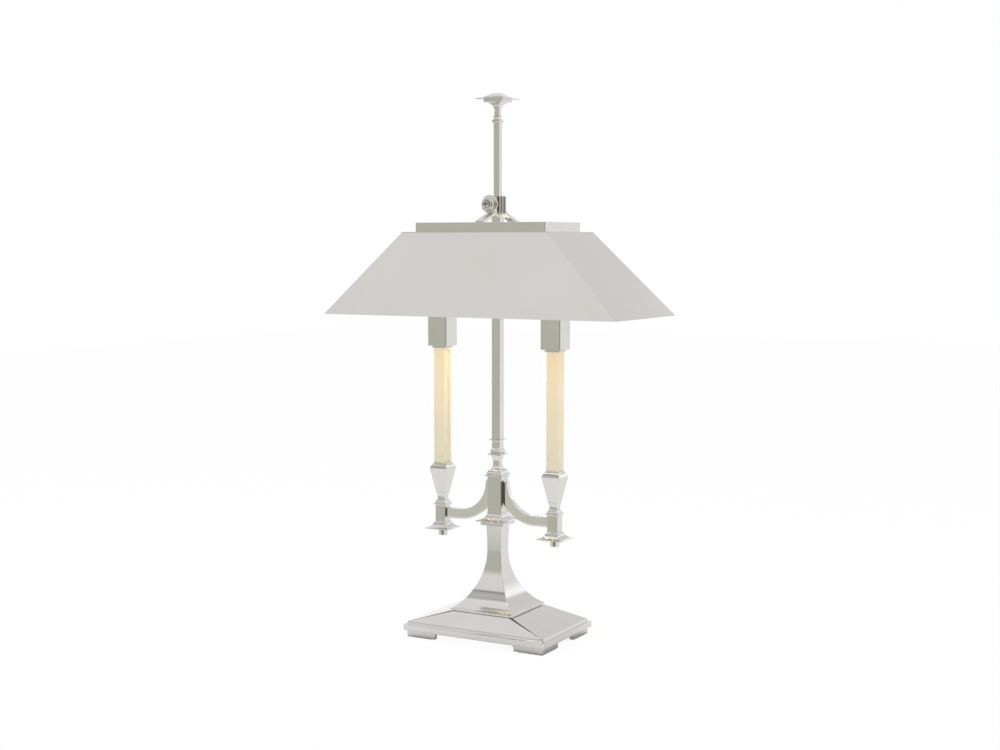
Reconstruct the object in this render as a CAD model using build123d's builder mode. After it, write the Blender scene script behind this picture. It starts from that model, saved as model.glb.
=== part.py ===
from build123d import *
import math
import os

os.makedirs("parts", exist_ok=True)

# Two-candle table lamp in polished nickel with a rectangular shade that slides on a square rod.
# X runs along the shade's long side, -Y is the front, and the origin is on the table under the
# middle of the base. All sizes are in millimetres.

# Whole height; the stem takes up what the other pieces leave
lamp_height = 788.3

# Play between pieces
slide_clearance = 0.3    # block on rod, screw in its hole
seat_clearance = 0.1     # tubes, spigots and plates in their holes

# Base
rim_length = 233.0
rim_width = 153.0
rim_height = 8.5
foot_inset = 4.5
foot_leg = 47.0
foot_gap_height = 8.1
foot_gap_corner = 4.0
apron_height = 1.5
cove_height = 4.0
cove_start = 0.8
roof_inset = 4.8
roof_height = 18.5
roof_wall = 5.0
ceiling_margin = 6.0
skirt_wall = 7.0
ledge_width = 4.0
boss_size = 12.0
pad_height = 0.6
pad_width = 5.0
pad_leg = 40.0
cover_height = 2.0
cover_recess = 10.1
screw_diameter = 3.0
screw_head = 5.6
screw_head_height = 1.8
screw_length = 8.0
screw_run_out = 1.0

# Cord inlet in the bottom cover
inlet_bore = 6.5
inlet_hole = 12.0
inlet_flange = 15.0
inlet_flange_height = 1.5
inlet_place = 46.0

# Weight and the tube that clamps base, column and hub
tube_diameter = 10.0
tube_bore = 7.0
ballast_height = 12.0
ballast_gap = 0.6
washer_diameter = 30.0
washer_height = 2.0
nut_across_flats = 17.0
nut_height = 8.0
hub_nut_diameter = 14.4
hub_nut_height = 6.0
tube_end = 2.0
tube_foot = 0.5

# Column
pedestal_foot = 102.0
pedestal_fillet = 3.4
pedestal_foot_angle = 27.0
pedestal_foot_pull = 22.4
pedestal_waist_pull = 37.0
pedestal_height = 124.3
waist_height = 85.8
waist_width = 23.0
column_top = 25.0
column_wall = 4.0

# Hub between the arms
tray_width = 48.6
tray_step_width = 37.0
tray_step_height = 3.5
tray_bevel_height = 2.2
tray_edge = 1.2
tray_height = 18.5
hub_width = 22.7
hub_height = 52.0
hub_bore = 15.0
hub_floor = 8.0
cap_plate_width = 27.6
cap_plate_height = 2.0
cap_cove = 0.8
cap_dome_width = 25.0
cap_dome_height = 8.7
cap_top_width = 14.4
cap_plug_height = 8.0

# Baluster under the stem
baluster_height = 43.8
baluster_waist = 10.2
baluster_waist_height = 9.0
baluster_cup_width = 16.0
baluster_cup_height = 20.0
baluster_plate_width = 22.0
baluster_plate_height = 1.8
baluster_plate_bevel = 0.9
baluster_bead_width = 16.8
baluster_bead_step = 1.2
baluster_bead_height = 7.0
baluster_neck = 12.6
baluster_neck_height = 4.6
baluster_lip_width = 18.2
baluster_lip_height = 1.8
spigot_diameter = 8.8
spigot_length = 20.0

# Stem, rod and finial
stem_width = 13.1
stem_wall = 2.0
rod_width = 8.9
rod_length = 129.0
rod_tail = 60.0
tenon_diameter = 4.0
tenon_length = 18.0
collar_width = 13.5
collar_height = 11.0
collar_edge = 0.8
collar_lip_height = 2.0
collar_ring_width = 9.4
collar_ring_height = 2.6
finial_height = 31.0
finial_neck = 7.2
finial_neck_height = 6.5
finial_flare_width = 24.0
finial_block_width = 30.0
finial_block_height = 4.0
finial_plate_width = 47.6
finial_plate_height = 1.4
finial_flare_height = 12.0
finial_crown_step = 2.0
finial_crown_width = 12.0
tenon_run_out = 2.0

# Arms
arm_reach = 93.5
arm_bend = 44.0
arm_depth = 15.5
arm_width = 9.0
arm_wall = 2.0
arm_rise = 43.5
arm_top = 2.0
arm_slope = 2.0
arm_stand_off = 6.65
wire_hole = 7.0
lead_diameter = 3.2
lead_bend = 5.0
lead_spread = 1.75
lead_offset = 1.0

# Candle groups
block_width = 16.6
block_height = 23.3
block_below_arm = 5.0
pan_width = 39.6
pan_edge = 1.4
pan_height = 12.0
pan_bead_width = 21.0
pan_bead_height = 1.6
pan_cove = 2.3
pan_floor = 0.8
closing_diameter = 13.5
closing_height = 10.0
closing_round = 1.2
plug_length = 9.0
neck_plate_width = 20.8
neck_plate_height = 1.5
neck_cove = 1.3
neck_dome_width = 17.4
neck_dome_height = 5.2
neck_width = 12.0
neck_step = 0.7
neck_length = 3.0
neck_height = 19.2
vase_height = 45.0
vase_foot_width = 14.8
vase_width = 29.5
vase_taper_height = 36.0
vase_bead = 1.6
vase_lip_width = 21.2
vase_lip_height = 1.8
candle_width = 19.1
candle_wall = 1.5
candle_seat = 6.0
candle_length = 178.5
holder_seat = 1.5
holder_ring_width = 23.6
holder_ring_height = 3.0
holder_cover_width = 31.8
holder_cover_height = 48.0
holder_cover_wall = 1.2
nipple_grip = 5.0
nipple_into_holder = 6.0
holder_diameter = 26.5
holder_height = 42.0
bulb_cap_diameter = 13.8
bulb_cap_height = 24.0
bulb_neck = 12.6
bulb_neck_height = 6.0
bulb_diameter = 35.0
bulb_belly_height = 32.0
bulb_height = 96.0
bulb_swell = 9.0
bulb_flame = 26.0
bulb_tip = 5.0
bulb_wall = 1.0

# Shade and its carriage
block_length = 25.0
block_depth = 20.0
slide_width = 16.5
groove_width = 2.6
groove_depth = 2.0
groove_place = 4.2
gallery_drop = 12.9
gallery_end_margin = 12.65
gallery_side_margin = 17.2
gallery_height = 13.5
gallery_wall = 2.0
gallery_lip = 10.0
gallery_lip_height = 2.0
sheet = 1.0
shade_top_length = 236.3
shade_top_width = 144.4
shade_length = 470.0
shade_width = 202.4
shade_height = 119.2
flange_margin = 21.0
strap_width = 12.5
strap_thickness = 4.2
strap_elbow_height = 3.0
strap_drop = 3.0
strap_elbow_radius = 9.0
strap_foot_inset = 0.8
strap_below_top = 1.0
screw_height = 13.0
shank_diameter = 6.0
knob_gap = 13.5
knob_diameter = 26.4
knob_flange_height = 2.6
knob_step_diameter = 21.6
knob_step_height = 1.6
knob_boss_diameter = 19.4
knob_boss_height = 4.6
knob_recess_diameter = 9.4
knob_recess_depth = 5.0

# Heights, from the table up
feet_level = pad_height
rim_level = feet_level + foot_gap_height + apron_height
cove_level = rim_level + rim_height
roof_level = cove_level + cove_height
pedestal_level = roof_level + roof_height
tray_level = pedestal_level + pedestal_height
hub_level = tray_level + tray_height
cap_level = hub_level + hub_height
baluster_level = cap_level + cap_plate_height + cap_cove + cap_dome_height
stem_level = baluster_level + baluster_height
finial_level = lamp_height - finial_height
collar_level = finial_level - collar_height
shoulder_level = collar_level - rod_length
stem_length = shoulder_level - stem_level
arm_centre = hub_level + arm_rise
arm_level = arm_centre - arm_bend - arm_depth
block_level = arm_level - block_below_arm
pan_level = block_level - pan_height
neck_level = block_level + block_height
vase_level = neck_level + neck_height
candle_level = vase_level + vase_height - candle_seat
ring_level = candle_level + candle_length - holder_seat
holder_level = ring_level + holder_ring_height + holder_cover_wall
bulb_level = holder_level + holder_height
slide_level = shoulder_level + slide_clearance
gallery_top = slide_level - gallery_drop
gallery_level = gallery_top - gallery_height
shade_level = gallery_level - shade_height

lead_level = arm_level + arm_depth / 2


def upright_planes(x):
    """The front and the side plane through an upright axis at x.

    A profile carried along both, with what they share kept, is a moulding of square plan."""
    front = Plane((x, 0, 0), x_dir=(1, 0, 0), z_dir=(0, -1, 0))
    side = Plane((x, 0, 0), x_dir=(0, 1, 0), z_dir=(1, 0, 0))
    return ((front, Mode.ADD), (side, Mode.INTERSECT))


def half_plane(side):
    """The front plane with its first axis pointing away from the lamp's middle on that side."""
    return Plane((0, 0, 0), x_dir=(side, 0, 0), z_dir=(0, -side, 0))


def finish(piece, name):
    """Label a piece and write its file."""
    piece.part.label = name
    export_step(piece.part, f"parts/{name}.step")


# Base casting: bracket feet, rim, cove and hipped top, open below
skirt_length = rim_length - 2 * foot_inset
skirt_width = rim_width - 2 * foot_inset
pocket_length = skirt_length - 2 * skirt_wall
pocket_width = skirt_width - 2 * skirt_wall
cover_level = feet_level + cover_recess
ledge_level = cover_level + cover_height
cavity_length = pocket_length - 2 * ledge_width
cavity_width = pocket_width - 2 * ledge_width
ceiling_level = pedestal_level - roof_wall
ceiling_length = pedestal_foot + ceiling_margin
ceiling_width = pedestal_foot
boss_length = cavity_length - boss_size
boss_span = cavity_width - boss_size

with BuildPart() as base_plinth:
    for (plane, mode), length in zip(upright_planes(0), (rim_length, rim_width)):
        with BuildSketch(plane):
            with BuildLine():
                foot_line = Polyline(
                    (0, feet_level),
                    (length / 2 - foot_inset, feet_level),
                    (length / 2 - foot_inset, rim_level),
                    (length / 2, rim_level),
                    (length / 2, cove_level),
                    (length / 2 - cove_start, cove_level),
                )
                cove = TangentArc(foot_line @ 1, (length / 2 - roof_inset, roof_level), tangent=(-1, 0))
                Polyline(cove @ 1, (pedestal_foot / 2, pedestal_level), (0, pedestal_level), (0, feet_level))
            make_face()
            mirror(about=Plane.YZ)
        extrude(amount=rim_length, both=True, mode=mode)
    with BuildSketch(Plane.XY.offset(feet_level)):
        Rectangle(pocket_length, pocket_width)
    extrude(amount=ledge_level - feet_level, mode=Mode.SUBTRACT)
    with BuildSketch(Plane.XY.offset(ledge_level)):
        Rectangle(cavity_length, cavity_width)
        with GridLocations(boss_length, boss_span, 2, 2):
            Rectangle(boss_size, boss_size, mode=Mode.SUBTRACT)
    extrude(amount=roof_level - ledge_level, mode=Mode.SUBTRACT)
    with BuildSketch(Plane.XY.offset(roof_level)):
        Rectangle(cavity_length, cavity_width)
    with BuildSketch(Plane.XY.offset(ceiling_level)):
        Rectangle(ceiling_length, ceiling_width)
    loft(mode=Mode.SUBTRACT)
    for (plane, _), length in zip(upright_planes(0), (skirt_length, skirt_width)):
        with BuildSketch(plane):
            with Locations((0, feet_level + foot_gap_height / 2)):
                gap = Rectangle(length - 2 * foot_leg, foot_gap_height)
            fillet(gap.vertices().group_by(Axis.Z)[-1], foot_gap_corner)
        extrude(amount=rim_length, both=True, mode=Mode.SUBTRACT)
    with Locations((0, 0, pedestal_level)):
        Hole(tube_diameter / 2 + seat_clearance)
    with BuildSketch(Plane.XY.offset(ledge_level)):
        with GridLocations(boss_length, boss_span, 2, 2):
            Circle(screw_diameter / 2 + seat_clearance)
    extrude(amount=screw_length + screw_run_out - cover_height, mode=Mode.SUBTRACT)
finish(base_plinth, "base_plinth")

# Felt strips under the four bracket feet
pad_inset = (skirt_wall - pad_width) / 2
with BuildPart() as foot_pads:
    with BuildSketch():
        for x_side, y_side in ((-1, -1), (1, -1), (1, 1), (-1, 1)):
            corner_x = x_side * (skirt_length / 2 - pad_inset)
            corner_y = y_side * (skirt_width / 2 - pad_inset)
            with Locations((corner_x - x_side * pad_leg / 2, corner_y - y_side * pad_width / 2)):
                Rectangle(pad_leg, pad_width)
            with Locations((corner_x - x_side * pad_width / 2, corner_y - y_side * pad_leg / 2)):
                Rectangle(pad_width, pad_leg)
    extrude(amount=pad_height)
finish(foot_pads, "foot_pads")

# Steel bottom cover with the hole for the cord inlet
with BuildPart() as base_cover:
    with BuildSketch(Plane.XY.offset(cover_level)):
        Rectangle(pocket_length - 2 * slide_clearance, pocket_width - 2 * slide_clearance)
        with GridLocations(boss_length, boss_span, 2, 2):
            Circle(screw_diameter / 2 + seat_clearance, mode=Mode.SUBTRACT)
        with Locations((0, inlet_place)):
            Circle(inlet_hole / 2, mode=Mode.SUBTRACT)
    extrude(amount=cover_height)
finish(base_cover, "base_cover")

# Four pan-head screws that hold the cover to the corner bosses
with BuildPart() as cover_screws:
    with BuildSketch(Plane.XY.offset(cover_level)):
        with GridLocations(boss_length, boss_span, 2, 2):
            Circle(screw_head / 2)
    extrude(amount=-screw_head_height)
    with BuildSketch(Plane.XY.offset(cover_level)):
        with GridLocations(boss_length, boss_span, 2, 2):
            Circle(screw_diameter / 2)
    extrude(amount=screw_length)
finish(cover_screws, "cover_screws")

# Rubber bushing that lines the cord's hole, with a lip on both faces of the cover
with BuildPart() as cord_bushing:
    with BuildSketch(Plane((0, inlet_place, 0), x_dir=(1, 0, 0), z_dir=(0, -1, 0))):
        with BuildLine():
            Polyline(
                (inlet_bore / 2, cover_level - inlet_flange_height),
                (inlet_flange / 2, cover_level - inlet_flange_height),
                (inlet_flange / 2, cover_level),
                (inlet_hole / 2 - seat_clearance, cover_level),
                (inlet_hole / 2 - seat_clearance, ledge_level),
                (inlet_flange / 2, ledge_level),
                (inlet_flange / 2, ledge_level + inlet_flange_height),
                (inlet_bore / 2, ledge_level + inlet_flange_height),
                close=True,
            )
        make_face()
    revolve(axis=Axis((0, inlet_place, 0), (0, 0, 1)))
finish(cord_bushing, "cord_bushing")

# Cast-iron weight under the hipped top
ballast_level = ceiling_level - ballast_height
spread = (ceiling_level - ballast_level) / (ceiling_level - roof_level)
ballast_length = ceiling_length + spread * (cavity_length - ceiling_length)
ballast_width = ceiling_width + spread * (cavity_width - ceiling_width)
with BuildPart() as ballast_weight:
    with BuildSketch(Plane.XY.offset(ballast_level)):
        Rectangle(ballast_length - 2 * ballast_gap, ballast_width - 2 * ballast_gap)
    with BuildSketch(Plane.XY.offset(ceiling_level)):
        Rectangle(ceiling_length - 2 * ballast_gap, ceiling_width - 2 * ballast_gap)
    loft()
    with Locations((0, 0, ceiling_level)):
        Hole(tube_diameter / 2 + seat_clearance)
finish(ballast_weight, "ballast_weight")

# Washer and hexagon nut on the lower end of the clamping tube
washer_level = ballast_level - washer_height
with BuildPart() as tie_washer:
    with BuildSketch(Plane.XY.offset(washer_level)):
        Circle(washer_diameter / 2)
        Circle(tube_diameter / 2 + seat_clearance, mode=Mode.SUBTRACT)
    extrude(amount=washer_height)
finish(tie_washer, "tie_washer")

with BuildPart() as tie_nut:
    with BuildSketch(Plane.XY.offset(washer_level - nut_height)):
        RegularPolygon(nut_across_flats / 2, 6, major_radius=False)
        Circle(tube_diameter / 2 + seat_clearance, mode=Mode.SUBTRACT)
    extrude(amount=nut_height)
finish(tie_nut, "tie_nut")

# Threaded tube from the base up into the hub, with the wires inside
tube_bottom = washer_level - nut_height - tube_foot
tube_top = hub_level + hub_floor + hub_nut_height + tube_end
with BuildPart() as tie_tube:
    with BuildSketch(Plane.XY.offset(tube_bottom)):
        Circle(tube_diameter / 2)
        Circle(tube_bore / 2, mode=Mode.SUBTRACT)
    extrude(amount=tube_top - tube_bottom)
finish(tie_tube, "tie_tube")

with BuildPart() as hub_nut:
    with BuildSketch(Plane.XY.offset(hub_level + hub_floor)):
        Circle(hub_nut_diameter / 2)
        Circle(tube_diameter / 2 + seat_clearance, mode=Mode.SUBTRACT)
    extrude(amount=hub_nut_height)
finish(hub_nut, "hub_nut")

# Flared column: a fillet at the foot, a hollow sweep to the waist, and a slow spread to the top.
# The sweep leaves the waist upright and runs out at the foot at a low angle.
# Inside it is a casting of even wall under a closed head.
waist_level = pedestal_level + waist_height
flare_level = pedestal_level + pedestal_fillet
head_level = tray_level - column_wall
foot_reach = pedestal_foot_pull * math.cos(math.radians(pedestal_foot_angle))
foot_rise = pedestal_foot_pull * math.sin(math.radians(pedestal_foot_angle))
with BuildPart() as pedestal_column:
    for plane, mode in upright_planes(0):
        with BuildSketch(plane):
            with BuildLine():
                foot_line = Polyline(
                    (0, pedestal_level), (pedestal_foot / 2, pedestal_level), (pedestal_foot / 2, flare_level)
                )
                sweep_line = Bezier(
                    (waist_width / 2, waist_level),
                    (waist_width / 2, waist_level - pedestal_waist_pull),
                    (pedestal_foot / 2 - foot_reach, flare_level + foot_rise),
                    (pedestal_foot / 2, flare_level),
                )
                spread_line = TangentArc(sweep_line @ 0, (column_top / 2, tray_level), tangent=(0, 1))
                Polyline(spread_line @ 1, (0, tray_level), (0, pedestal_level))
            make_face()
            mirror(about=Plane.YZ)
        extrude(amount=pedestal_foot, both=True, mode=mode)
with BuildPart() as column_cavity:
    for plane, mode in upright_planes(0):
        with BuildSketch(plane):
            with BuildLine():
                waist_inside = (waist_width / 2 - column_wall, waist_level)
                foot_inside = (pedestal_foot / 2 - 2 * column_wall, pedestal_level)
                sweep_line = TangentArc(waist_inside, foot_inside, tangent=(0, -1))
                Polyline(
                    waist_inside,
                    (waist_width / 2 - column_wall, head_level),
                    (0, head_level),
                    (0, pedestal_level),
                    foot_inside,
                )
            make_face()
            mirror(about=Plane.YZ)
        extrude(amount=pedestal_foot, both=True, mode=mode)
with BuildPart() as hollow_column:
    add(pedestal_column.part)
    add(column_cavity.part, mode=Mode.SUBTRACT)
    with Locations((0, 0, tray_level)):
        Hole(tube_diameter / 2 + seat_clearance)
finish(hollow_column, "pedestal_column")

# Flared tray under the hub, with a step below its thin edge
with BuildPart() as hub_tray:
    edge_level = tray_level + tray_step_height + tray_bevel_height
    for plane, mode in upright_planes(0):
        with BuildSketch(plane):
            with BuildLine():
                lower = Polyline(
                    (0, tray_level),
                    (tray_step_width / 2, tray_level),
                    (tray_step_width / 2, tray_level + tray_step_height),
                    (tray_width / 2, edge_level),
                    (tray_width / 2, edge_level + tray_edge),
                )
                flare = TangentArc((hub_width / 2, hub_level), lower @ 1, tangent=(0, -1))
                Polyline(flare @ 0, (0, hub_level), (0, tray_level))
            make_face()
            mirror(about=Plane.YZ)
        extrude(amount=tray_width, both=True, mode=mode)
    with Locations((0, 0, hub_level)):
        Hole(tube_diameter / 2 + seat_clearance)
finish(hub_tray, "hub_tray")

# Square hub: hollow above its floor, with a wire hole towards each arm
wire_level = arm_centre - wire_hole / 2 - lead_bend * 2
with BuildPart() as arm_hub:
    with BuildSketch(Plane.XY.offset(hub_level)):
        Rectangle(hub_width, hub_width)
    extrude(amount=hub_height)
    with BuildSketch(Plane.XY.offset(hub_level + hub_floor)):
        Circle(hub_bore / 2)
    extrude(amount=hub_height - hub_floor, mode=Mode.SUBTRACT)
    with Locations((0, 0, cap_level)):
        Hole(tube_diameter / 2 + seat_clearance)
    with BuildSketch(Plane.YZ):
        with Locations((0, wire_level)):
            Circle(wire_hole / 2)
    extrude(amount=hub_width, both=True, mode=Mode.SUBTRACT)
finish(arm_hub, "arm_hub")

# Domed cap: a thin plate, a square dome, and a plug that fits the hub's bore
with BuildPart() as hub_cap:
    plate_level = cap_level + cap_cove
    dome_level = plate_level + cap_plate_height
    for plane, mode in upright_planes(0):
        with BuildSketch(plane):
            with BuildLine():
                under = TangentArc((hub_width / 2, cap_level), (cap_dome_width / 2, plate_level), tangent=(0, 1))
                plate = Polyline(
                    under @ 1,
                    (cap_plate_width / 2, plate_level),
                    (cap_plate_width / 2, dome_level),
                    (cap_dome_width / 2, dome_level),
                )
                dome = TangentArc(plate @ 1, (cap_top_width / 2, baluster_level), tangent=(0, 1))
                Polyline(dome @ 1, (0, baluster_level), (0, cap_level), under @ 0)
            make_face()
            mirror(about=Plane.YZ)
        extrude(amount=cap_plate_width, both=True, mode=mode)
    with BuildSketch(Plane.XY.offset(cap_level)):
        Circle(hub_bore / 2 - seat_clearance)
    extrude(amount=-cap_plug_height)
    with Locations((0, 0, baluster_level)):
        Hole(spigot_diameter / 2 + seat_clearance)
finish(hub_cap, "hub_cap")

# Baluster: waist, cup, thin plate, bead, neck and lip, with a round spigot at each end
with BuildPart() as stem_baluster:
    cup_level = baluster_level + baluster_cup_height
    bead_level = cup_level + baluster_plate_bevel + baluster_plate_height
    neck_low = bead_level + baluster_bead_height
    lip_level = stem_level - baluster_lip_height
    for plane, mode in upright_planes(0):
        with BuildSketch(plane):
            with BuildLine():
                waist = (baluster_waist / 2, baluster_level + baluster_waist_height)
                foot = TangentArc(waist, (cap_top_width / 2, baluster_level), tangent=(0, -1))
                cup = TangentArc(waist, (baluster_cup_width / 2, cup_level), tangent=(0, 1))
                plate = Polyline(
                    cup @ 1,
                    (baluster_plate_width / 2, cup_level + baluster_plate_bevel),
                    (baluster_plate_width / 2, bead_level),
                    (baluster_bead_width / 2 - baluster_bead_step, bead_level),
                )
                bead = ThreePointArc(
                    plate @ 1,
                    (baluster_bead_width / 2, bead_level + baluster_bead_height / 2),
                    (baluster_neck / 2, neck_low),
                )
                neck = Line(bead @ 1, (baluster_neck / 2, lip_level - baluster_neck_height / 2))
                lip = TangentArc(neck @ 1, (baluster_lip_width / 2, lip_level), tangent=(0, 1))
                Polyline(
                    lip @ 1,
                    (baluster_lip_width / 2, stem_level),
                    (0, stem_level),
                    (0, baluster_level),
                    foot @ 1,
                )
            make_face()
            mirror(about=Plane.YZ)
        extrude(amount=baluster_plate_width, both=True, mode=mode)
    with BuildSketch(Plane.XY.offset(baluster_level)):
        Circle(spigot_diameter / 2)
    extrude(amount=-(baluster_level - cap_level + cap_plug_height))
    with BuildSketch(Plane.XY.offset(stem_level)):
        Circle(spigot_diameter / 2)
    extrude(amount=spigot_length)
finish(stem_baluster, "stem_baluster")

# Square lower stem: a drawn tube whose upper end is the shoulder that carries the slide block
with BuildPart() as lower_stem:
    with BuildSketch(Plane.XY.offset(stem_level)):
        Rectangle(stem_width, stem_width)
        Rectangle(stem_width - 2 * stem_wall, stem_width - 2 * stem_wall, mode=Mode.SUBTRACT)
    extrude(amount=stem_length)
finish(lower_stem, "lower_stem")

# Square upper rod: its tail is held in the stem, its tenon holds collar and finial
with BuildPart() as upper_rod:
    with BuildSketch(Plane.XY.offset(shoulder_level - rod_tail)):
        Rectangle(rod_width, rod_width)
    extrude(amount=rod_tail + rod_length)
    with BuildSketch(Plane.XY.offset(collar_level)):
        Circle(tenon_diameter / 2)
    extrude(amount=tenon_length)
finish(upper_rod, "upper_rod")

# Flared collar under the finial
with BuildPart() as finial_collar:
    edge_level = collar_level + collar_lip_height
    ring_low = finial_level - collar_ring_height
    for plane, mode in upright_planes(0):
        with BuildSketch(plane):
            with BuildLine():
                start = (rod_width / 2 + collar_edge, collar_level)
                lip = TangentArc(start, (collar_width / 2, edge_level), tangent=(0, 1))
                edge = Line(lip @ 1, (collar_width / 2, edge_level + collar_edge))
                slope = TangentArc((finial_neck / 2 + collar_edge / 2, ring_low), edge @ 1, tangent=(0, -1))
                Polyline(
                    slope @ 0,
                    (collar_ring_width / 2, ring_low),
                    (collar_ring_width / 2, finial_level - collar_edge),
                    (finial_neck / 2, finial_level),
                    (0, finial_level),
                    (0, collar_level),
                    start,
                )
            make_face()
            mirror(about=Plane.YZ)
        extrude(amount=collar_width, both=True, mode=mode)
    with Locations((0, 0, finial_level)):
        Hole(tenon_diameter / 2 + seat_clearance)
finish(finial_collar, "finial_collar")

# Square finial: neck, hollow sweep, block, thin wide plate and a low crown
with BuildPart() as finial:
    sweep_low = finial_level + finial_neck_height
    block_low = sweep_low + finial_flare_height
    plate_low = block_low + finial_block_height
    plate_high = plate_low + finial_plate_height
    for plane, mode in upright_planes(0):
        with BuildSketch(plane):
            with BuildLine():
                neck = Polyline((0, finial_level), (finial_neck / 2, finial_level), (finial_neck / 2, sweep_low))
                sweep_line = TangentArc(neck @ 1, (finial_flare_width / 2, block_low), tangent=(0, 1))
                Polyline(
                    sweep_line @ 1,
                    (finial_block_width / 2, block_low),
                    (finial_block_width / 2, plate_low),
                    (finial_plate_width / 2, plate_low),
                    (finial_plate_width / 2, plate_high),
                    (finial_block_width / 2, plate_high),
                    (finial_block_width / 2, plate_high + finial_crown_step),
                    (finial_crown_width / 2, finial_level + finial_height),
                    (0, finial_level + finial_height),
                    (0, finial_level),
                )
            make_face()
            mirror(about=Plane.YZ)
        extrude(amount=finial_plate_width, both=True, mode=mode)
    with BuildSketch(Plane.XY.offset(finial_level)):
        Circle(tenon_diameter / 2 + seat_clearance)
    extrude(amount=tenon_length - collar_height + tenon_run_out, mode=Mode.SUBTRACT)
finish(finial, "finial")

# Arms, candle groups and wires, one set on each side
hub_face = hub_width / 2
block_face = arm_reach - block_width / 2
bend_x = hub_face + arm_stand_off + arm_bend
outer_bend = arm_bend + arm_depth

for side, hand in ((-1, "left"), (1, "right")):
    axis_x = side * arm_reach

    # Curved arm: a flat-sided hollow bracket that leaves the hub upright and meets the block level
    with BuildPart() as arm:
        outer_meet = arm_centre - math.sqrt(outer_bend**2 - (bend_x - hub_face) ** 2)
        with BuildSketch(half_plane(side)):
            with BuildLine():
                under = TangentArc((bend_x, arm_level), (hub_face, outer_meet), tangent=(-1, 0))
                over = TangentArc(
                    (bend_x, arm_level + arm_depth), (bend_x - arm_bend, arm_centre), tangent=(-1, 0)
                )
                Polyline(under @ 0, (block_face, arm_level), (block_face, arm_level + arm_depth), over @ 0)
                Polyline(
                    over @ 1,
                    (bend_x - arm_bend, arm_centre + arm_top),
                    (hub_face, arm_centre + arm_top + arm_slope),
                    under @ 1,
                )
            make_face()
        extrude(amount=arm_width / 2, both=True)
        channel_inner = arm_bend + arm_wall
        channel_outer = outer_bend - arm_wall
        channel_meet = arm_centre - math.sqrt(channel_outer**2 - (bend_x - hub_face) ** 2)
        with BuildSketch(half_plane(side)):
            with BuildLine():
                under = TangentArc((bend_x, arm_level + arm_wall), (hub_face, channel_meet), tangent=(-1, 0))
                over = TangentArc(
                    (bend_x, arm_level + arm_depth - arm_wall),
                    (bend_x - channel_inner, arm_centre),
                    tangent=(-1, 0),
                )
                Polyline(
                    under @ 0,
                    (block_face, arm_level + arm_wall),
                    (block_face, arm_level + arm_depth - arm_wall),
                    over @ 0,
                )
                Polyline(over @ 1, (hub_face, arm_centre), under @ 1)
            make_face()
        extrude(amount=arm_width / 2 - arm_wall, both=True, mode=Mode.SUBTRACT)
    finish(arm, f"arm_{hand}")

    # Square block at the arm's end, bored through, with a wire hole towards the arm
    with BuildPart() as candle_block:
        with BuildSketch(Plane.XY.offset(block_level)):
            with Locations((axis_x, 0)):
                Rectangle(block_width, block_width)
                Circle(tube_diameter / 2 + seat_clearance, mode=Mode.SUBTRACT)
        extrude(amount=block_height)
        with BuildSketch(Plane.YZ.offset(axis_x)):
            with Locations((0, lead_level)):
                Circle(wire_hole / 2)
        extrude(amount=-side * block_width, mode=Mode.SUBTRACT)
    finish(candle_block, f"candle_block_{hand}")

    # Drip pan: a thin square dish edge swept up to a bead, and a small cove up to the block
    with BuildPart() as drip_pan:
        bead_high = block_level - pan_cove
        bead_low = bead_high - pan_bead_height
        for plane, mode in upright_planes(axis_x):
            with BuildSketch(plane):
                with BuildLine():
                    edge = Polyline(
                        (0, pan_level),
                        (closing_diameter / 2, pan_level),
                        (pan_width / 2, pan_level + pan_floor),
                        (pan_width / 2, pan_level + pan_floor + pan_edge),
                    )
                    flare = TangentArc(edge @ 1, (pan_bead_width / 2, bead_low), tangent=(-1, 0))
                    bead = Line(flare @ 1, (pan_bead_width / 2, bead_high))
                    cove = TangentArc((block_width / 2, block_level), bead @ 1, tangent=(0, -1))
                    Polyline(cove @ 0, (0, block_level), (0, pan_level))
                make_face()
                mirror(about=Plane.YZ)
            extrude(amount=pan_width, both=True, mode=mode)
        with Locations((axis_x, 0, block_level)):
            Hole(tube_diameter / 2 + seat_clearance)
    finish(drip_pan, f"drip_pan_{hand}")

    # Round closing nut under the pan, with its threaded plug up into the block
    with BuildPart() as closing_nut:
        with BuildSketch(Plane.XY.offset(pan_level)):
            with Locations((axis_x, 0)):
                Circle(closing_diameter / 2)
        extrude(amount=-closing_height)
        fillet(closing_nut.edges().sort_by(Axis.Z)[0], closing_round)
        with BuildSketch(Plane.XY.offset(pan_level)):
            with Locations((axis_x, 0)):
                Circle(tube_diameter / 2)
        extrude(amount=pan_height + plug_length)
    finish(closing_nut, f"closing_nut_{hand}")

    # Neck: thin cap plate, square dome and a waist under the vase
    with BuildPart() as vase_neck:
        plate_low = neck_level + neck_cove
        plate_high = plate_low + neck_plate_height
        dome_high = plate_high + neck_dome_height
        for plane, mode in upright_planes(axis_x):
            with BuildSketch(plane):
                with BuildLine():
                    under = TangentArc(
                        (block_width / 2, neck_level), (neck_dome_width / 2, plate_low), tangent=(0, 1)
                    )
                    plate = Polyline(
                        under @ 1,
                        (neck_plate_width / 2, plate_low),
                        (neck_plate_width / 2, plate_high),
                        (neck_dome_width / 2, plate_high),
                    )
                    dome = TangentArc(plate @ 1, (neck_width / 2 + neck_step, dome_high), tangent=(0, 1))
                    neck = Polyline(
                        dome @ 1, (neck_width / 2, dome_high), (neck_width / 2, dome_high + neck_length)
                    )
                    spread_line = TangentArc(neck @ 1, (vase_foot_width / 2, vase_level), tangent=(0, 1))
                    Polyline(spread_line @ 1, (0, vase_level), (0, neck_level), under @ 0)
                make_face()
                mirror(about=Plane.YZ)
            extrude(amount=neck_plate_width, both=True, mode=mode)
        with Locations((axis_x, 0, vase_level)):
            Hole(tube_diameter / 2 + seat_clearance)
    finish(vase_neck, f"vase_neck_{hand}")

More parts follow.
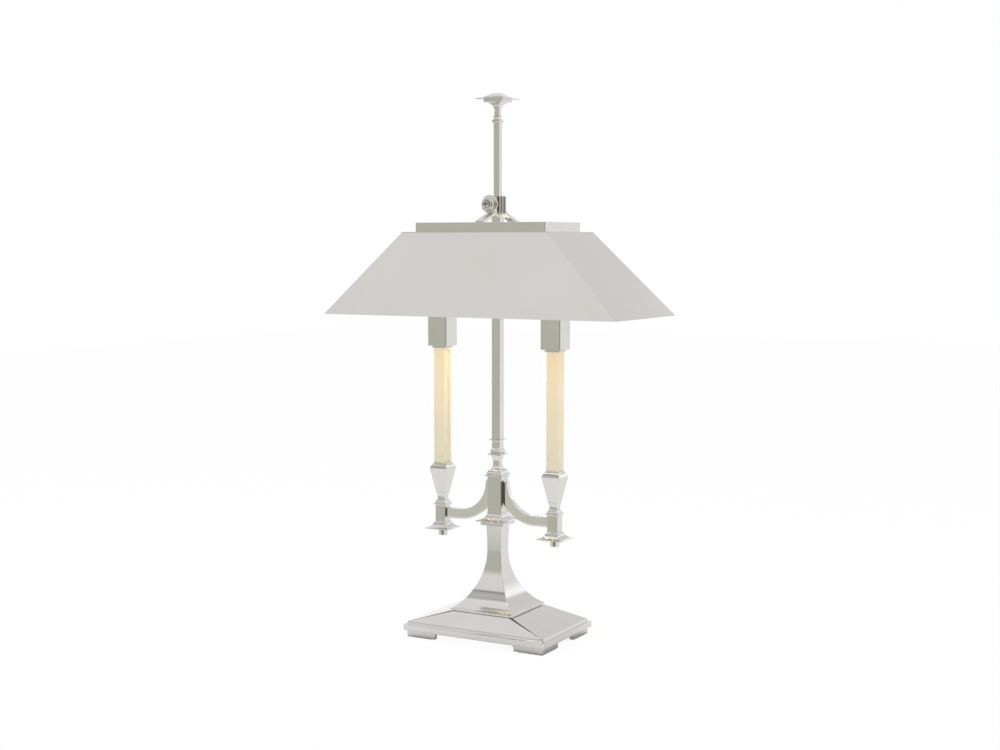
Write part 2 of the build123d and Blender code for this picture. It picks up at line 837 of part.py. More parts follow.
    # Vase cup: flat tapering sides, a bead at the shoulder, two bevels and a lip round the candle
    with BuildPart() as vase_cup:
        shoulder = vase_level + vase_taper_height
        lip_low = vase_level + vase_height - vase_lip_height
        for plane, mode in upright_planes(axis_x):
            with BuildSketch(plane):
                with BuildLine():
                    taper = Polyline(
                        (0, vase_level),
                        (vase_foot_width / 2, vase_level),
                        (vase_width / 2 - vase_bead / 4, shoulder),
                    )
                    bead = ThreePointArc(
                        taper @ 1,
                        (vase_width / 2, shoulder + vase_bead / 2),
                        (vase_width / 2 - vase_bead / 3, shoulder + vase_bead),
                    )
                    Polyline(
                        bead @ 1,
                        (vase_lip_width / 2 + vase_bead, lip_low - vase_bead),
                        (vase_lip_width / 2, lip_low),
                        (vase_lip_width / 2, vase_level + vase_height),
                        (0, vase_level + vase_height),
                        (0, vase_level),
                    )
                make_face()
                mirror(about=Plane.YZ)
            extrude(amount=vase_width, both=True, mode=mode)
        with BuildSketch(Plane.XY.offset(candle_level)):
            with Locations((axis_x, 0)):
                Rectangle(candle_width + 2 * seat_clearance, candle_width + 2 * seat_clearance)
        extrude(amount=candle_seat, mode=Mode.SUBTRACT)
        with Locations((axis_x, 0, candle_level)):
            Hole(tube_diameter / 2 + seat_clearance)
    finish(vase_cup, f"vase_cup_{hand}")

    # Ivory candle sleeve: a square tube from the cup to the socket cover
    with BuildPart() as candle_sleeve:
        with BuildSketch(Plane.XY.offset(candle_level)):
            with Locations((axis_x, 0)):
                Rectangle(candle_width, candle_width)
                Rectangle(
                    candle_width - 2 * candle_wall, candle_width - 2 * candle_wall, mode=Mode.SUBTRACT
                )
        extrude(amount=candle_length)
    finish(candle_sleeve, f"candle_sleeve_{hand}")

    # Threaded tube that draws block, vase, candle and lamp holder together
    nipple_low = neck_level - nipple_grip
    with BuildPart() as candle_nipple:
        with BuildSketch(Plane.XY.offset(nipple_low)):
            with Locations((axis_x, 0)):
                Circle(tube_diameter / 2)
                Circle(tube_bore / 2, mode=Mode.SUBTRACT)
        extrude(amount=holder_level + nipple_into_holder - nipple_low)
    finish(candle_nipple, f"candle_nipple_{hand}")

    # Square socket cover on a step ring that fits over the candle
    cover_low = ring_level + holder_ring_height
    with BuildPart() as socket_cover:
        with BuildSketch(Plane.XY.offset(ring_level)):
            with Locations((axis_x, 0)):
                Rectangle(holder_ring_width, holder_ring_width)
        extrude(amount=holder_ring_height)
        with BuildSketch(Plane.XY.offset(cover_low)):
            with Locations((axis_x, 0)):
                Rectangle(holder_cover_width, holder_cover_width)
        extrude(amount=holder_cover_height)
        with BuildSketch(Plane.XY.offset(holder_level)):
            with Locations((axis_x, 0)):
                inside = holder_cover_width - 2 * holder_cover_wall
                Rectangle(inside, inside)
        extrude(amount=holder_cover_height, mode=Mode.SUBTRACT)
        with BuildSketch(Plane.XY.offset(ring_level)):
            with Locations((axis_x, 0)):
                Rectangle(candle_width + 2 * seat_clearance, candle_width + 2 * seat_clearance)
        extrude(amount=holder_seat, mode=Mode.SUBTRACT)
        with Locations((axis_x, 0, holder_level)):
            Hole(tube_diameter / 2 + seat_clearance)
    finish(socket_cover, f"socket_cover_{hand}")

    # Lamp holder: insulating body with a threaded hole below and a screw socket above
    cap_low = bulb_level - bulb_cap_height
    with BuildPart() as lamp_holder:
        with BuildSketch(Plane.XY.offset(holder_level)):
            with Locations((axis_x, 0)):
                Circle(holder_diameter / 2)
                Circle(tube_diameter / 2 + seat_clearance, mode=Mode.SUBTRACT)
        extrude(amount=cap_low - holder_level)
        with BuildSketch(Plane.XY.offset(cap_low)):
            with Locations((axis_x, 0)):
                Circle(holder_diameter / 2)
                Circle(bulb_cap_diameter / 2 + seat_clearance, mode=Mode.SUBTRACT)
        extrude(amount=bulb_cap_height)
    finish(lamp_holder, f"lamp_holder_{hand}")

    # Bulb: small screw cap and a candle-shaped glass
    bulb_axis = Axis((axis_x, 0, 0), (0, 0, 1))
    bulb_plane = Plane((axis_x, 0, 0), x_dir=(1, 0, 0), z_dir=(0, -1, 0))
    with BuildPart() as bulb_cap:
        with BuildSketch(Plane.XY.offset(cap_low)):
            with Locations((axis_x, 0)):
                Circle(bulb_cap_diameter / 2)
        extrude(amount=bulb_cap_height)
        chamfer(bulb_cap.edges().sort_by(Axis.Z)[0], bulb_wall)
    finish(bulb_cap, f"bulb_cap_{hand}")

    with BuildPart() as bulb_glass:
        with BuildSketch(bulb_plane):
            for inset, mode in ((0.0, Mode.ADD), (bulb_wall, Mode.SUBTRACT)):
                throat = bulb_neck / 2 - inset
                belly = bulb_diameter / 2 - inset
                throat_level = bulb_level + bulb_neck_height
                belly_level = bulb_level + bulb_belly_height
                tip_level = bulb_level + bulb_height - inset
                with BuildLine():
                    Polyline((0, tip_level), (0, bulb_level), (throat, bulb_level), (throat, throat_level))
                    Bezier(
                        (throat, throat_level),
                        (throat, throat_level + bulb_swell),
                        (belly, belly_level - bulb_swell),
                        (belly, belly_level),
                    )
                    Bezier(
                        (belly, belly_level),
                        (belly, belly_level + bulb_flame),
                        (bulb_tip, tip_level),
                        (0, tip_level),
                    )
                make_face(mode=mode)
        revolve(axis=bulb_axis)
    finish(bulb_glass, f"bulb_glass_{hand}")

    # Twin lead: up the clamping tube, over into the arm, round its bend, and up the candle's tube
    with BuildPart() as lead:
        entry_level = wire_level + lead_offset
        drop = arm_centre - entry_level
        middle_bend = arm_bend + arm_depth / 2
        turn_x = bend_x - math.sqrt((middle_bend + lead_bend) ** 2 - (drop + lead_bend) ** 2)
        turn_angle = math.degrees(math.acos((drop + lead_bend) / (middle_bend + lead_bend)))
        with BuildLine(half_plane(side)) as route:
            rise = Line((lead_spread, tube_bottom), (lead_spread, entry_level - lead_bend))
            over = JernArc(rise @ 1, (0, 1), lead_bend, -90)
            across = Line(over @ 1, (turn_x, entry_level))
            down = JernArc(across @ 1, (1, 0), lead_bend, -turn_angle)
            bend = JernArc(down @ 1, down % 1, middle_bend, turn_angle)
            along = Line(bend @ 1, (arm_reach - lead_bend, lead_level))
            turn_up = JernArc(along @ 1, (1, 0), lead_bend, 90)
            Line(turn_up @ 1, (arm_reach, holder_level + nipple_into_holder))
        with BuildSketch(Plane((side * lead_spread, 0, tube_bottom))):
            Circle(lead_diameter / 2)
        sweep()
    finish(lead, f"lead_{hand}")

# Shade: four flat sheet panels, mitred and soldered along the hips
panel_top = gallery_level - sheet
front_run = (shade_width - shade_top_width) / 2
end_run = (shade_length - shade_top_length) / 2
front_sheet = sheet * math.hypot(1, front_run / (panel_top - shade_level))
end_sheet = sheet * math.hypot(1, end_run / (panel_top - shade_level))


def panel_corners(length, width, along_x, turn):
    """The mitred strip of one panel at one level: its outer edge and its inner edge."""
    x, y = length / 2, width / 2
    if along_x:
        strip = ((-x, -y), (x, -y), (x - end_sheet, front_sheet - y), (end_sheet - x, front_sheet - y))
    else:
        strip = ((-x, -y), (-x, y), (end_sheet - x, y - front_sheet), (end_sheet - x, front_sheet - y))
    return [(turn * px, turn * py) for px, py in strip]


for name, along_x, turn in (("front", True, 1), ("back", True, -1), ("left", False, 1), ("right", False, -1)):
    with BuildPart() as shade_panel:
        for level, length, width in (
            (shade_level, shade_length, shade_width),
            (panel_top, shade_top_length, shade_top_width),
        ):
            with BuildSketch(Plane.XY.offset(level)):
                with BuildLine():
                    Polyline(*panel_corners(length, width, along_x, turn), close=True)
                make_face()
        loft(ruled=True)
    finish(shade_panel, f"shade_panel_{name}")

# Flat sheet flange that closes the shade's top round the open gallery
with BuildPart() as shade_top_flange:
    with BuildSketch(Plane.XY.offset(panel_top)):
        Rectangle(shade_top_length, shade_top_width)
        Rectangle(
            shade_top_length - 2 * flange_margin, shade_top_width - 2 * flange_margin, mode=Mode.SUBTRACT
        )
    extrude(amount=sheet)
finish(shade_top_flange, "shade_top_flange")

# Gallery: four angle-section rails, mitred at the corners, open in the middle
gallery_length = shade_top_length - 2 * gallery_end_margin
gallery_width = shade_top_width - 2 * gallery_side_margin
for name, along_x, turn in (("front", True, 1), ("back", True, -1), ("left", False, 1), ("right", False, -1)):
    x, y = gallery_length / 2, gallery_width / 2
    if along_x:
        strip = ((-x, -y), (x, -y), (x - gallery_lip, gallery_lip - y), (gallery_lip - x, gallery_lip - y))
    else:
        strip = ((-x, -y), (-x, y), (gallery_lip - x, y - gallery_lip), (gallery_lip - x, gallery_lip - y))
    with BuildPart() as gallery_rail:
        with BuildSketch(Plane.XY.offset(gallery_level)):
            with BuildLine():
                Polyline(*[(turn * px, turn * py) for px, py in strip], close=True)
            make_face()
        extrude(amount=gallery_height)
        with BuildSketch(Plane.XY.offset(gallery_level)):
            Rectangle(gallery_length - 2 * gallery_wall, gallery_width - 2 * gallery_wall)
        extrude(amount=gallery_height - gallery_lip_height, mode=Mode.SUBTRACT)
    finish(gallery_rail, f"gallery_rail_{name}")

# Slide block: square hole for the rod, grooved flanks and a cross hole for the thumbscrew
screw_level = slide_level + screw_height
rod_hole = rod_width + 2 * slide_clearance
with BuildPart() as slide_block:
    with BuildSketch(Plane.XY.offset(slide_level)):
        Rectangle(slide_width, block_depth)
        Rectangle(rod_hole, rod_hole, mode=Mode.SUBTRACT)
        with GridLocations(slide_width - groove_depth, 2 * groove_place, 2, 2):
            Rectangle(groove_depth, groove_width, mode=Mode.SUBTRACT)
    extrude(amount=block_length)
    with BuildSketch(Plane.XZ):
        with Locations((0, screw_level)):
            Circle(shank_diameter / 2 + slide_clearance)
    extrude(amount=block_depth, mode=Mode.SUBTRACT)
finish(slide_block, "slide_block")

# Straps: upright against the block, an easy elbow, then a slope down to the gallery's long rails
cheek_in = block_depth / 2
cheek_out = cheek_in + strap_thickness
strap_top = slide_level + block_length - strap_below_top
elbow_level = slide_level + strap_elbow_height
foot_out = gallery_width / 2 - strap_foot_inset
foot_in = foot_out - gallery_lip + 2 * strap_foot_inset
for name, facing in (("front", -1), ("back", 1)):
    with BuildPart() as strap:
        with BuildSketch(Plane((0, 0, 0), x_dir=(0, facing, 0), z_dir=(facing, 0, 0))):
            with BuildLine():
                upper = FilletPolyline(
                    (cheek_out, strap_top),
                    (cheek_out, elbow_level),
                    (foot_out, gallery_top + strap_thickness / 2),
                    radius=strap_elbow_radius,
                )
                lower = FilletPolyline(
                    (cheek_in, strap_top),
                    (cheek_in, elbow_level - strap_drop),
                    (foot_in, gallery_top),
                    radius=strap_elbow_radius + strap_thickness,
                )
                Line(upper @ 0, lower @ 0)
                Polyline(upper @ 1, (foot_out, gallery_top), lower @ 1)
            make_face()
        extrude(amount=strap_width / 2, both=True)
        if facing < 0:
            with BuildSketch(Plane.XZ):
                with Locations((0, screw_level)):
                    Circle(shank_diameter / 2 + slide_clearance)
            extrude(amount=cheek_out + slide_clearance, mode=Mode.SUBTRACT)
    finish(strap, f"strap_{name}")

# Thumbscrew: stepped round knob with a recess in its face, on a plain shank that bears on the rod
with BuildPart() as thumbscrew:
    knob_low = cheek_in + knob_gap
    face = knob_low + knob_flange_height + knob_step_height + knob_boss_height
    with BuildSketch(Plane((0, 0, screw_level), x_dir=(1, 0, 0), z_dir=(0, 0, 1))):
        with BuildLine():
            Polyline(
                (0, -(rod_width / 2 + slide_clearance)),
                (shank_diameter / 2, -(rod_width / 2 + slide_clearance)),
                (shank_diameter / 2, -knob_low),
                (knob_diameter / 2, -knob_low),
                (knob_diameter / 2, -(knob_low + knob_flange_height)),
                (knob_step_diameter / 2, -(knob_low + knob_flange_height)),
                (knob_step_diameter / 2, -(knob_low + knob_flange_height + knob_step_height)),
                (knob_boss_diameter / 2, -(knob_low + knob_flange_height + knob_step_height)),
                (knob_boss_diameter / 2, -face),
                (knob_recess_diameter / 2, -face),
                (knob_recess_diameter / 2, knob_recess_depth - face),
                (0, knob_recess_depth - face),
                close=True,
            )
        make_face()
    revolve(axis=Axis((0, 0, screw_level), (0, 1, 0)))
finish(thumbscrew, "thumbscrew")
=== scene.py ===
import bmesh
import bpy
import numpy as np
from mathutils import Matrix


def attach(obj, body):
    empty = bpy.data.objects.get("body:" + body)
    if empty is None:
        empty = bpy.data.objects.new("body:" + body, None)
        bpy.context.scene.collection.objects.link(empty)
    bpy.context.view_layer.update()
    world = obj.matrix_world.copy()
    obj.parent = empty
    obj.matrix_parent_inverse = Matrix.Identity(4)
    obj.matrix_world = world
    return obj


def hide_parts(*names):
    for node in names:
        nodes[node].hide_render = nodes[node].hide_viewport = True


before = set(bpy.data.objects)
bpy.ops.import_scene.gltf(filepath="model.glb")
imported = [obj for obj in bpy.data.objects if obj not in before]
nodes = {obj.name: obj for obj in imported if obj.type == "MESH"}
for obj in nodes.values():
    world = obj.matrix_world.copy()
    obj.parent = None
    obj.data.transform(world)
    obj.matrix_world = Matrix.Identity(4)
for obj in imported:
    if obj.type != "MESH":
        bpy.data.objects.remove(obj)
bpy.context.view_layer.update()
scene = bpy.context.scene
scene.view_settings.view_transform = "Standard"

# Studio: a white tabletop in a pale room that is bright overhead and behind, greyer at eye level in
# front with a dark beam higher up, and dark by the camera. Two large soft lamps light the object.


def ranged(tree, value, low, high, to_low, to_high):
    """A value carried from one range to another, with its ends clamped."""
    node = tree.nodes.new("ShaderNodeMapRange")
    for socket, number in zip(node.inputs[1:5], (low, high, to_low, to_high)):
        socket.default_value = number
    tree.links.new(value, node.inputs[0])
    return node.outputs[0]


def maths(tree, operation, *terms):
    """Values or numbers put together by one operation."""
    node = tree.nodes.new("ShaderNodeMath")
    node.operation = operation
    for socket, term in zip(node.inputs, terms):
        if isinstance(term, (int, float)):
            socket.default_value = term
        else:
            tree.links.new(term, socket)
    return node.outputs[0]


def between(tree, factor, first, second):
    """A colour mixed from two, each a socket or a plain colour."""
    node = tree.nodes.new("ShaderNodeMix")
    node.data_type = "RGBA"
    tree.links.new(factor, node.inputs[0])
    for socket, colour in zip(node.inputs[6:8], (first, second)):
        if isinstance(colour, tuple):
            socket.default_value = (*colour, 1)
        else:
            tree.links.new(colour, socket)
    return node.outputs[2]


def tones(tree, value, *stops):
    """A colour that runs through the stops, each a place on the value's scale and a colour."""
    node = tree.nodes.new("ShaderNodeValToRGB")
    marks = node.color_ramp.elements
    while len(marks) < len(stops):
        marks.new(0.5)
    for mark, (place, colour) in zip(marks, stops):
        mark.position = place
        mark.color = (*colour, 1)
    tree.links.new(value, node.inputs[0])
    return node.outputs[0]


def seen_rays(tree):
    """1 for the camera's rays and 1 for rays that a mirror or glass sends on."""
    path = tree.nodes.new("ShaderNodeLightPath").outputs
    sent_on = maths(tree, "MAXIMUM", path["Is Glossy Ray"], path["Is Transmission Ray"])
    return path["Is Camera Ray"], sent_on


def place_on(tree):
    """The three coordinates of a place on the object, in metres."""
    apart = tree.nodes.new("ShaderNodeSeparateXYZ")
    tree.links.new(tree.nodes.new("ShaderNodeTexCoord").outputs["Object"], apart.inputs[0])
    return apart.outputs


room = bpy.data.worlds.new("pale_room")
scene.world = room
room.use_nodes = True
tree = room.node_tree
bearing = tree.nodes.new("ShaderNodeTexCoord").outputs["Generated"]
direction = tree.nodes.new("ShaderNodeSeparateXYZ")
tree.links.new(bearing, direction.inputs[0])
to_camera = tree.nodes.new("ShaderNodeVectorMath")
to_camera.operation = "DOT_PRODUCT"
to_camera.inputs[1].default_value = (0.486, -0.874, 0.0)
tree.links.new(bearing, to_camera.inputs[0])
front = tones(
    tree,
    direction.outputs["Z"],
    (0.22, (0.61, 0.613, 0.55)),
    (0.32, (0.93, 0.93, 0.93)),
    (0.60, (0.91, 0.91, 0.91)),
    (0.63, (0.28, 0.28, 0.28)),
    (0.655, (0.56, 0.56, 0.56)),
    (0.70, (0.64, 0.64, 0.64)),
    (0.765, (0.52, 0.53, 0.52)),
    (0.785, (0.97, 0.97, 0.97)),
)
back = tones(
    tree,
    direction.outputs["Z"],
    (0.20, (0.98, 0.98, 0.98)),
    (0.29, (1.32, 1.32, 1.32)),
    (0.34, (1.32, 1.32, 1.32)),
    (0.37, (0.80, 0.80, 0.81)),
    (0.50, (0.82, 0.82, 0.83)),
    (0.65, (0.93, 0.93, 0.94)),
)
ahead = ranged(tree, direction.outputs["Y"], -0.15, -0.45, 0.0, 1.0)
dark = ranged(tree, to_camera.outputs["Value"], 0.85, 0.95, 0.0, 1.0)
dark = maths(tree, "MULTIPLY", dark, ranged(tree, direction.outputs["Z"], 0.30, 0.55, 1.0, 0.0))
seen_room = between(tree, dark, between(tree, ahead, back, front), (0.12, 0.11, 0.085))
by_camera, by_mirror = seen_rays(tree)
lit_room = between(tree, by_mirror, (0.80, 0.80, 0.80), seen_room)
shown_room = between(tree, by_camera, lit_room, (1.0, 1.0, 1.0))
tree.links.new(shown_room, tree.nodes["Background"].inputs["Color"])

wide, near_y, far_y, floor_z = 5.0, -0.55, 7.0, -2e-4
plan = ((-wide, near_y), (wide, near_y), (wide, far_y), (-wide, far_y))
floor_mesh = bpy.data.meshes.new("tabletop")
floor_mesh.from_pydata([(*corner, floor_z) for corner in plan], [], [(0, 1, 2, 3)])
tabletop = bpy.data.objects.new("tabletop", floor_mesh)
scene.collection.objects.link(tabletop)
white_top = bpy.data.materials.new("white_top")
white_top.use_nodes = True
tree = white_top.node_tree
tree.nodes.remove(tree.nodes["Principled BSDF"])
matt = tree.nodes.new("ShaderNodeBsdfDiffuse")
matt.inputs["Color"].default_value = (0.95, 0.95, 0.95, 1)
glow = tree.nodes.new("ShaderNodeEmission")
mixed = tree.nodes.new("ShaderNodeMixShader")
by_camera, by_mirror = seen_rays(tree)
# Painted shade: what the metal sees of the tabletop is a glow, darker close under the object by ambient
# occlusion and darker towards the front and the left.
contact = tree.nodes.new("ShaderNodeAmbientOcclusion")
contact.inputs["Distance"].default_value = 0.22
spot = place_on(tree)
in_front = ranged(tree, spot["Y"], -0.70, -0.40, 0.75, 1.0)
to_left = ranged(tree, spot["X"], -0.60, -0.30, 0.88, 1.0)
painted_contact_shade = ranged(tree, contact.outputs["AO"], 0.55, 1.0, 0.36, 1.0)
mirrored = maths(tree, "MULTIPLY", maths(tree, "MULTIPLY", in_front, to_left), painted_contact_shade)
tree.links.new(maths(tree, "MAXIMUM", by_camera, mirrored), glow.inputs["Strength"])
share = maths(tree, "MULTIPLY_ADD", by_camera, 0.95, by_mirror)
tree.links.new(share, mixed.inputs[0])
tree.links.new(matt.outputs[0], mixed.inputs[1])
tree.links.new(glow.outputs[0], mixed.inputs[2])
tree.links.new(mixed.outputs[0], tree.nodes["Material Output"].inputs["Surface"])
floor_mesh.materials.append(white_top)

for name, place, turn, size, power in (
    ("soft_lamp_left", (-1.7, -1.5, 2.3), (44, 0, -48), 1.8, 18.0),
    ("soft_lamp_right", (2.2, 0.4, 1.9), (52, 0, 100), 1.6, 10.0),
):
    lamp = bpy.data.objects.new(name, bpy.data.lights.new(name, "AREA"))
    lamp.data.size = size
    lamp.data.energy = power
    lamp.location = place
    lamp.rotation_euler = np.radians(turn)
    lamp.visible_glossy = False
    scene.collection.objects.link(lamp)

camera = bpy.data.objects.new("camera", bpy.data.cameras.new("camera"))
camera.data.lens = 55.68
camera.data.sensor_width = 36.0
camera.location = (1.0879, -1.9559, 0.5778)
camera.rotation_euler = np.radians((85.06, 0.0, 29.0))
scene.collection.objects.link(camera)
scene.camera = camera

# Base: a heavy plinth casting with a plain rim, a small cove and a hipped top, nickel plated and
# buffed bright. It is open underneath, where a sheet cover closes it.


def rounded(points, radius, closed=True, steps=5):
    """Softens the corners of a line: at each sharp corner a quadratic curve, pulled by the corner,
    joins two points that lie one radius away along its sides. One more point on each side, half a
    radius further out, keeps the flats beside the curve flat."""
    p = np.asarray(points, float)
    back, ahead = np.roll(p, 1, 0) - p, np.roll(p, -1, 0) - p
    long_back = np.linalg.norm(back, axis=1, keepdims=True)
    long_ahead = np.linalg.norm(ahead, axis=1, keepdims=True)
    back, ahead = back / long_back, ahead / long_ahead
    reach = np.minimum(radius, 0.3 * np.minimum(long_back, long_ahead))
    sharp = (back * ahead).sum(1) > -0.966
    if not closed:
        sharp[[0, -1]] = False
        reach[[0, -1]] = 0.0
    t = np.r_[-0.5, np.linspace(0, 1, steps), 1.5][None, :, None]
    s = np.clip(t, 0, 1)
    pull_back = (1 - s) ** 2 + np.maximum(-t, 0)
    pull_ahead = s**2 + np.maximum(t - 1, 0)
    curve = p[:, None] + reach[:, None] * (pull_back * back[:, None] + pull_ahead * ahead[:, None])
    keep = sharp[:, None] | (np.arange(steps + 2) == (steps + 1) // 2)[None, :]
    return curve[keep]


def tangent_arc(start, end, heading, steps=12):
    """Points of the circle that leaves start along heading and reaches end. The angle between
    heading and chord is half the arc's angle, and the points are start turned about the centre."""
    start, end, heading = (np.asarray(v, float) for v in (start, end, heading))
    across = np.array([-heading[1], heading[0]])
    chord = end - start
    centre = start + across * (chord @ chord) / (2 * (chord @ across))
    turn = 2 * np.arctan2(chord @ across, chord @ heading) * np.linspace(0, 1, steps)[:, None]
    spoke = start - centre
    return centre + np.cos(turn) * spoke + np.sin(turn) * np.array([-spoke[1], spoke[0]])


def square_ring(half_x, half_y, corner, roundness):
    """Rings of square plan, one for each row: four quarter circles of the corner radius joined by
    flats. Where roundness is 1 the ring is a circle with its points at the same bearings."""
    turn = np.radians(np.linspace(0, 90, 5))
    inset = np.r_[[[0.0, 2.0]], np.c_[1 - np.cos(turn), 1 - np.sin(turn)], [[2.0, 0.0]]]
    inset = np.r_[inset, inset[::-1], inset, inset[::-1]]
    side_x = np.repeat([1, -1, -1, 1], 7)
    side_y = np.repeat([1, 1, -1, -1], 7)
    small = np.minimum(corner, 0.4 * np.minimum(half_x, half_y))[:, None]
    x = side_x * (half_x[:, None] - small * inset[:, 0])
    y = side_y * (half_y[:, None] - small * inset[:, 1])
    bearing = np.arctan2(side_y * (1 - 0.2 * inset[:, 1]), side_x * (1 - 0.2 * inset[:, 0]))
    q = roundness[:, None]
    x = (1 - q) * x + q * half_x[:, None] * np.cos(bearing)
    y = (1 - q) * y + q * half_x[:, None] * np.sin(bearing)
    return x, y


def skin(name, grid, closed, finish):
    """A mesh over a millimetre grid of rows by columns by 3, where every row is a ring. The last
    row joins the first where the grid is closed, and otherwise a flat end closes each end row."""
    rows, columns = grid.shape[:2]
    index = np.arange(rows * columns).reshape(rows, columns)
    around = np.roll(index, -1, 1)
    if closed:
        quads = np.stack((index, around, np.roll(around, -1, 0), np.roll(index, -1, 0)), -1)
        faces = quads.reshape(-1, 4).tolist()
    else:
        quads = np.stack((index[:-1], around[:-1], around[1:], index[1:]), -1)
        faces = quads.reshape(-1, 4).tolist() + [index[0, ::-1].tolist(), index[-1].tolist()]
    mesh = bpy.data.meshes.new(name)
    mesh.from_pydata(grid.reshape(-1, 3) * 0.001, [], faces)
    mesh.polygons.foreach_set("use_smooth", np.ones(len(faces), bool))
    shell = bmesh.new()
    shell.from_mesh(mesh)
    bmesh.ops.recalc_face_normals(shell, faces=shell.faces)
    for edge in {edge for face in shell.faces if len(face.verts) > 4 for edge in face.edges}:
        edge.smooth = False
    shell.to_mesh(mesh)
    shell.free()
    mesh.materials.append(finish)
    piece = bpy.data.objects.new(name, mesh)
    scene.collection.objects.link(piece)
    return piece


def fit(piece, body, slot, *replaced):
    """The piece rides on a body and stands for its solids, which it hides. The slot is not used."""
    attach(piece, body)
    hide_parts(*replaced)
    return piece


def circle_rows(*rows):
    """Rows of (radius, height) that a moulding carries round a circle."""
    return np.array([(radius, radius, height, 1.0) for radius, height in rows])


def square_moulding(name, outline, finish, edge=0.5, corner=0.6, x=0.0, ends=False):
    """A moulding of square plan: the parts of an outline, in rows of (half width, height) or of
    (half length, half width, height), carried round a square ring, and circle_rows round a circle.
    The outline is a loop, or where ends is true it runs from a flat lower end to a flat upper end."""
    parts = [np.atleast_2d(np.asarray(part, float)) for part in outline]
    parts = [np.c_[part[:, 0], part] if part.shape[1] == 2 else part for part in parts]
    parts = [np.c_[part, np.zeros(len(part))] if part.shape[1] == 3 else part for part in parts]
    line = rounded(np.concatenate(parts), edge, closed=not ends)
    ring_x, ring_y = square_ring(line[:, 0], line[:, 1], corner, line[:, 3])
    height = np.repeat(line[:, 2:3], ring_x.shape[1], 1)
    return skin(name, np.stack((x + ring_x, ring_y, height), -1), not ends, finish)


def noise(tree, vector, scale, detail, stretch=(1, 1, 1)):
    """A noise texture on a vector that is first stretched along its axes."""
    mapping = tree.nodes.new("ShaderNodeMapping")
    mapping.inputs["Scale"].default_value = stretch
    tree.links.new(vector, mapping.inputs["Vector"])
    texture = tree.nodes.new("ShaderNodeTexNoise")
    texture.inputs["Scale"].default_value = scale
    texture.inputs["Detail"].default_value = detail
    tree.links.new(mapping.outputs["Vector"], texture.inputs["Vector"])
    return texture.outputs["Fac"]


def new_group(name, inputs, outputs):
    """An empty shader node group with named sockets, values or colours, and its two end nodes."""
    group = bpy.data.node_groups.new(name, "ShaderNodeTree")
    for in_out, sockets in (("INPUT", inputs), ("OUTPUT", outputs)):
        for socket, kind in sockets:
            group.interface.new_socket(socket, in_out=in_out, socket_type=f"NodeSocket{kind}")
    return group, group.nodes.new("NodeGroupInput").outputs, group.nodes.new("NodeGroupOutput").inputs


# The buffing wheel leaves a cloudy haze, faint hairlines along and across the metal, and a slow
# ripple. Haze and hairlines vary the roughness, and the ripple is the height of a bump.
buffing, _, out = new_group("buffing", [], [("Haze", "Float"), ("Ripple", "Float")])
place = buffing.nodes.new("ShaderNodeTexCoord").outputs["Object"]
hairline = maths(
    buffing,
    "MAXIMUM",
    noise(buffing, place, 900.0, 1.0, (1.0, 1.0, 0.03)),
    noise(buffing, place, 900.0, 1.0, (0.03, 0.03, 1.0)),
)
cloud = noise(buffing, place, 38.0, 3.0)
haze = maths(buffing, "MULTIPLY_ADD", cloud, 0.6, maths(buffing, "MULTIPLY", hairline, 0.4))
buffing.links.new(haze, out["Haze"])
buffing.links.new(noise(buffing, place, 26.0, 1.0), out["Ripple"])

# Slow and fine tone changes between two colours, as in plating, ivory, lining or felt.
mottle, given, out = new_group(
    "mottle", [("Colour", "Color"), ("Second Colour", "Color"), ("Scale", "Float")], [("Colour", "Color")]
)
grain = mottle.nodes.new("ShaderNodeTexNoise")
grain.inputs["Detail"].default_value = 4.0
mottle.links.new(mottle.nodes.new("ShaderNodeTexCoord").outputs["Object"], grain.inputs["Vector"])
mottle.links.new(given["Scale"], grain.inputs["Scale"])
spread = ranged(mottle, grain.outputs["Fac"], 0.35, 0.65, 0.0, 1.0)
mottle.links.new(between(mottle, spread, given["Colour"], given["Second Colour"]), out["Colour"])


def finish_of(name, colour, second, scale, smooth, rough, bump, metallic=0.0):
    """A finish with mottled colour, a roughness that follows the buffing haze between two values,
    and a bump of the given strength from the ripple."""
    material = bpy.data.materials.new(name)
    material.use_nodes = True
    tree = material.node_tree
    shader = tree.nodes["Principled BSDF"]
    shader.inputs["Metallic"].default_value = metallic
    tone = tree.nodes.new("ShaderNodeGroup")
    tone.node_tree = mottle
    tone.inputs["Colour"].default_value = (*colour, 1)
    tone.inputs["Second Colour"].default_value = (*second, 1)
    tone.inputs["Scale"].default_value = scale
    tree.links.new(tone.outputs["Colour"], shader.inputs["Base Color"])
    wheel = tree.nodes.new("ShaderNodeGroup")
    wheel.node_tree = buffing
    roughness = ranged(tree, wheel.outputs["Haze"], 0.3, 0.7, smooth, rough)
    tree.links.new(roughness, shader.inputs["Roughness"])
    relief = tree.nodes.new("ShaderNodeBump")
    relief.inputs["Strength"].default_value = bump
    relief.inputs["Distance"].default_value = 0.0005
    tree.links.new(wheel.outputs["Ripple"], relief.inputs["Height"])
    tree.links.new(relief.outputs["Normal"], shader.inputs["Normal"])
    return material


def darken(material, mask):
    """Paints a finish dark where the mask is 1, as painted shade in the block's grooves and as a painted
    dark reflection along the base's hips.
    """
    tree = material.node_tree
    colour = tree.nodes["Principled BSDF"].inputs["Base Color"]
    bare = colour.links[0].from_socket
    tree.links.new(between(tree, mask, bare, (0.035, 0.03, 0.022)), colour)


plating = ((0.70, 0.69, 0.67), (0.68, 0.665, 0.64), 24.0, 0.04, 0.11, 0.012)
nickel = finish_of("nickel", *plating, metallic=1.0)

# Outer rim, the cove's reach inwards, the column's seat, the ledge for the cover and the wall inside,
# and the radius of the hole for the tube that clamps everything.
rim_x, rim_y, rim_z, rim_top, cove_in = 116.5, 76.5, 10.2, 18.7, 4.8
seat, top_z, top_thick = 51.0, 41.2, 5.0
ledge_x, ledge_y, ledge_z = 105.0, 65.0, 12.7
wall_x, wall_y, wall_z = 101.0, 61.0, 22.7
bore = 5.1
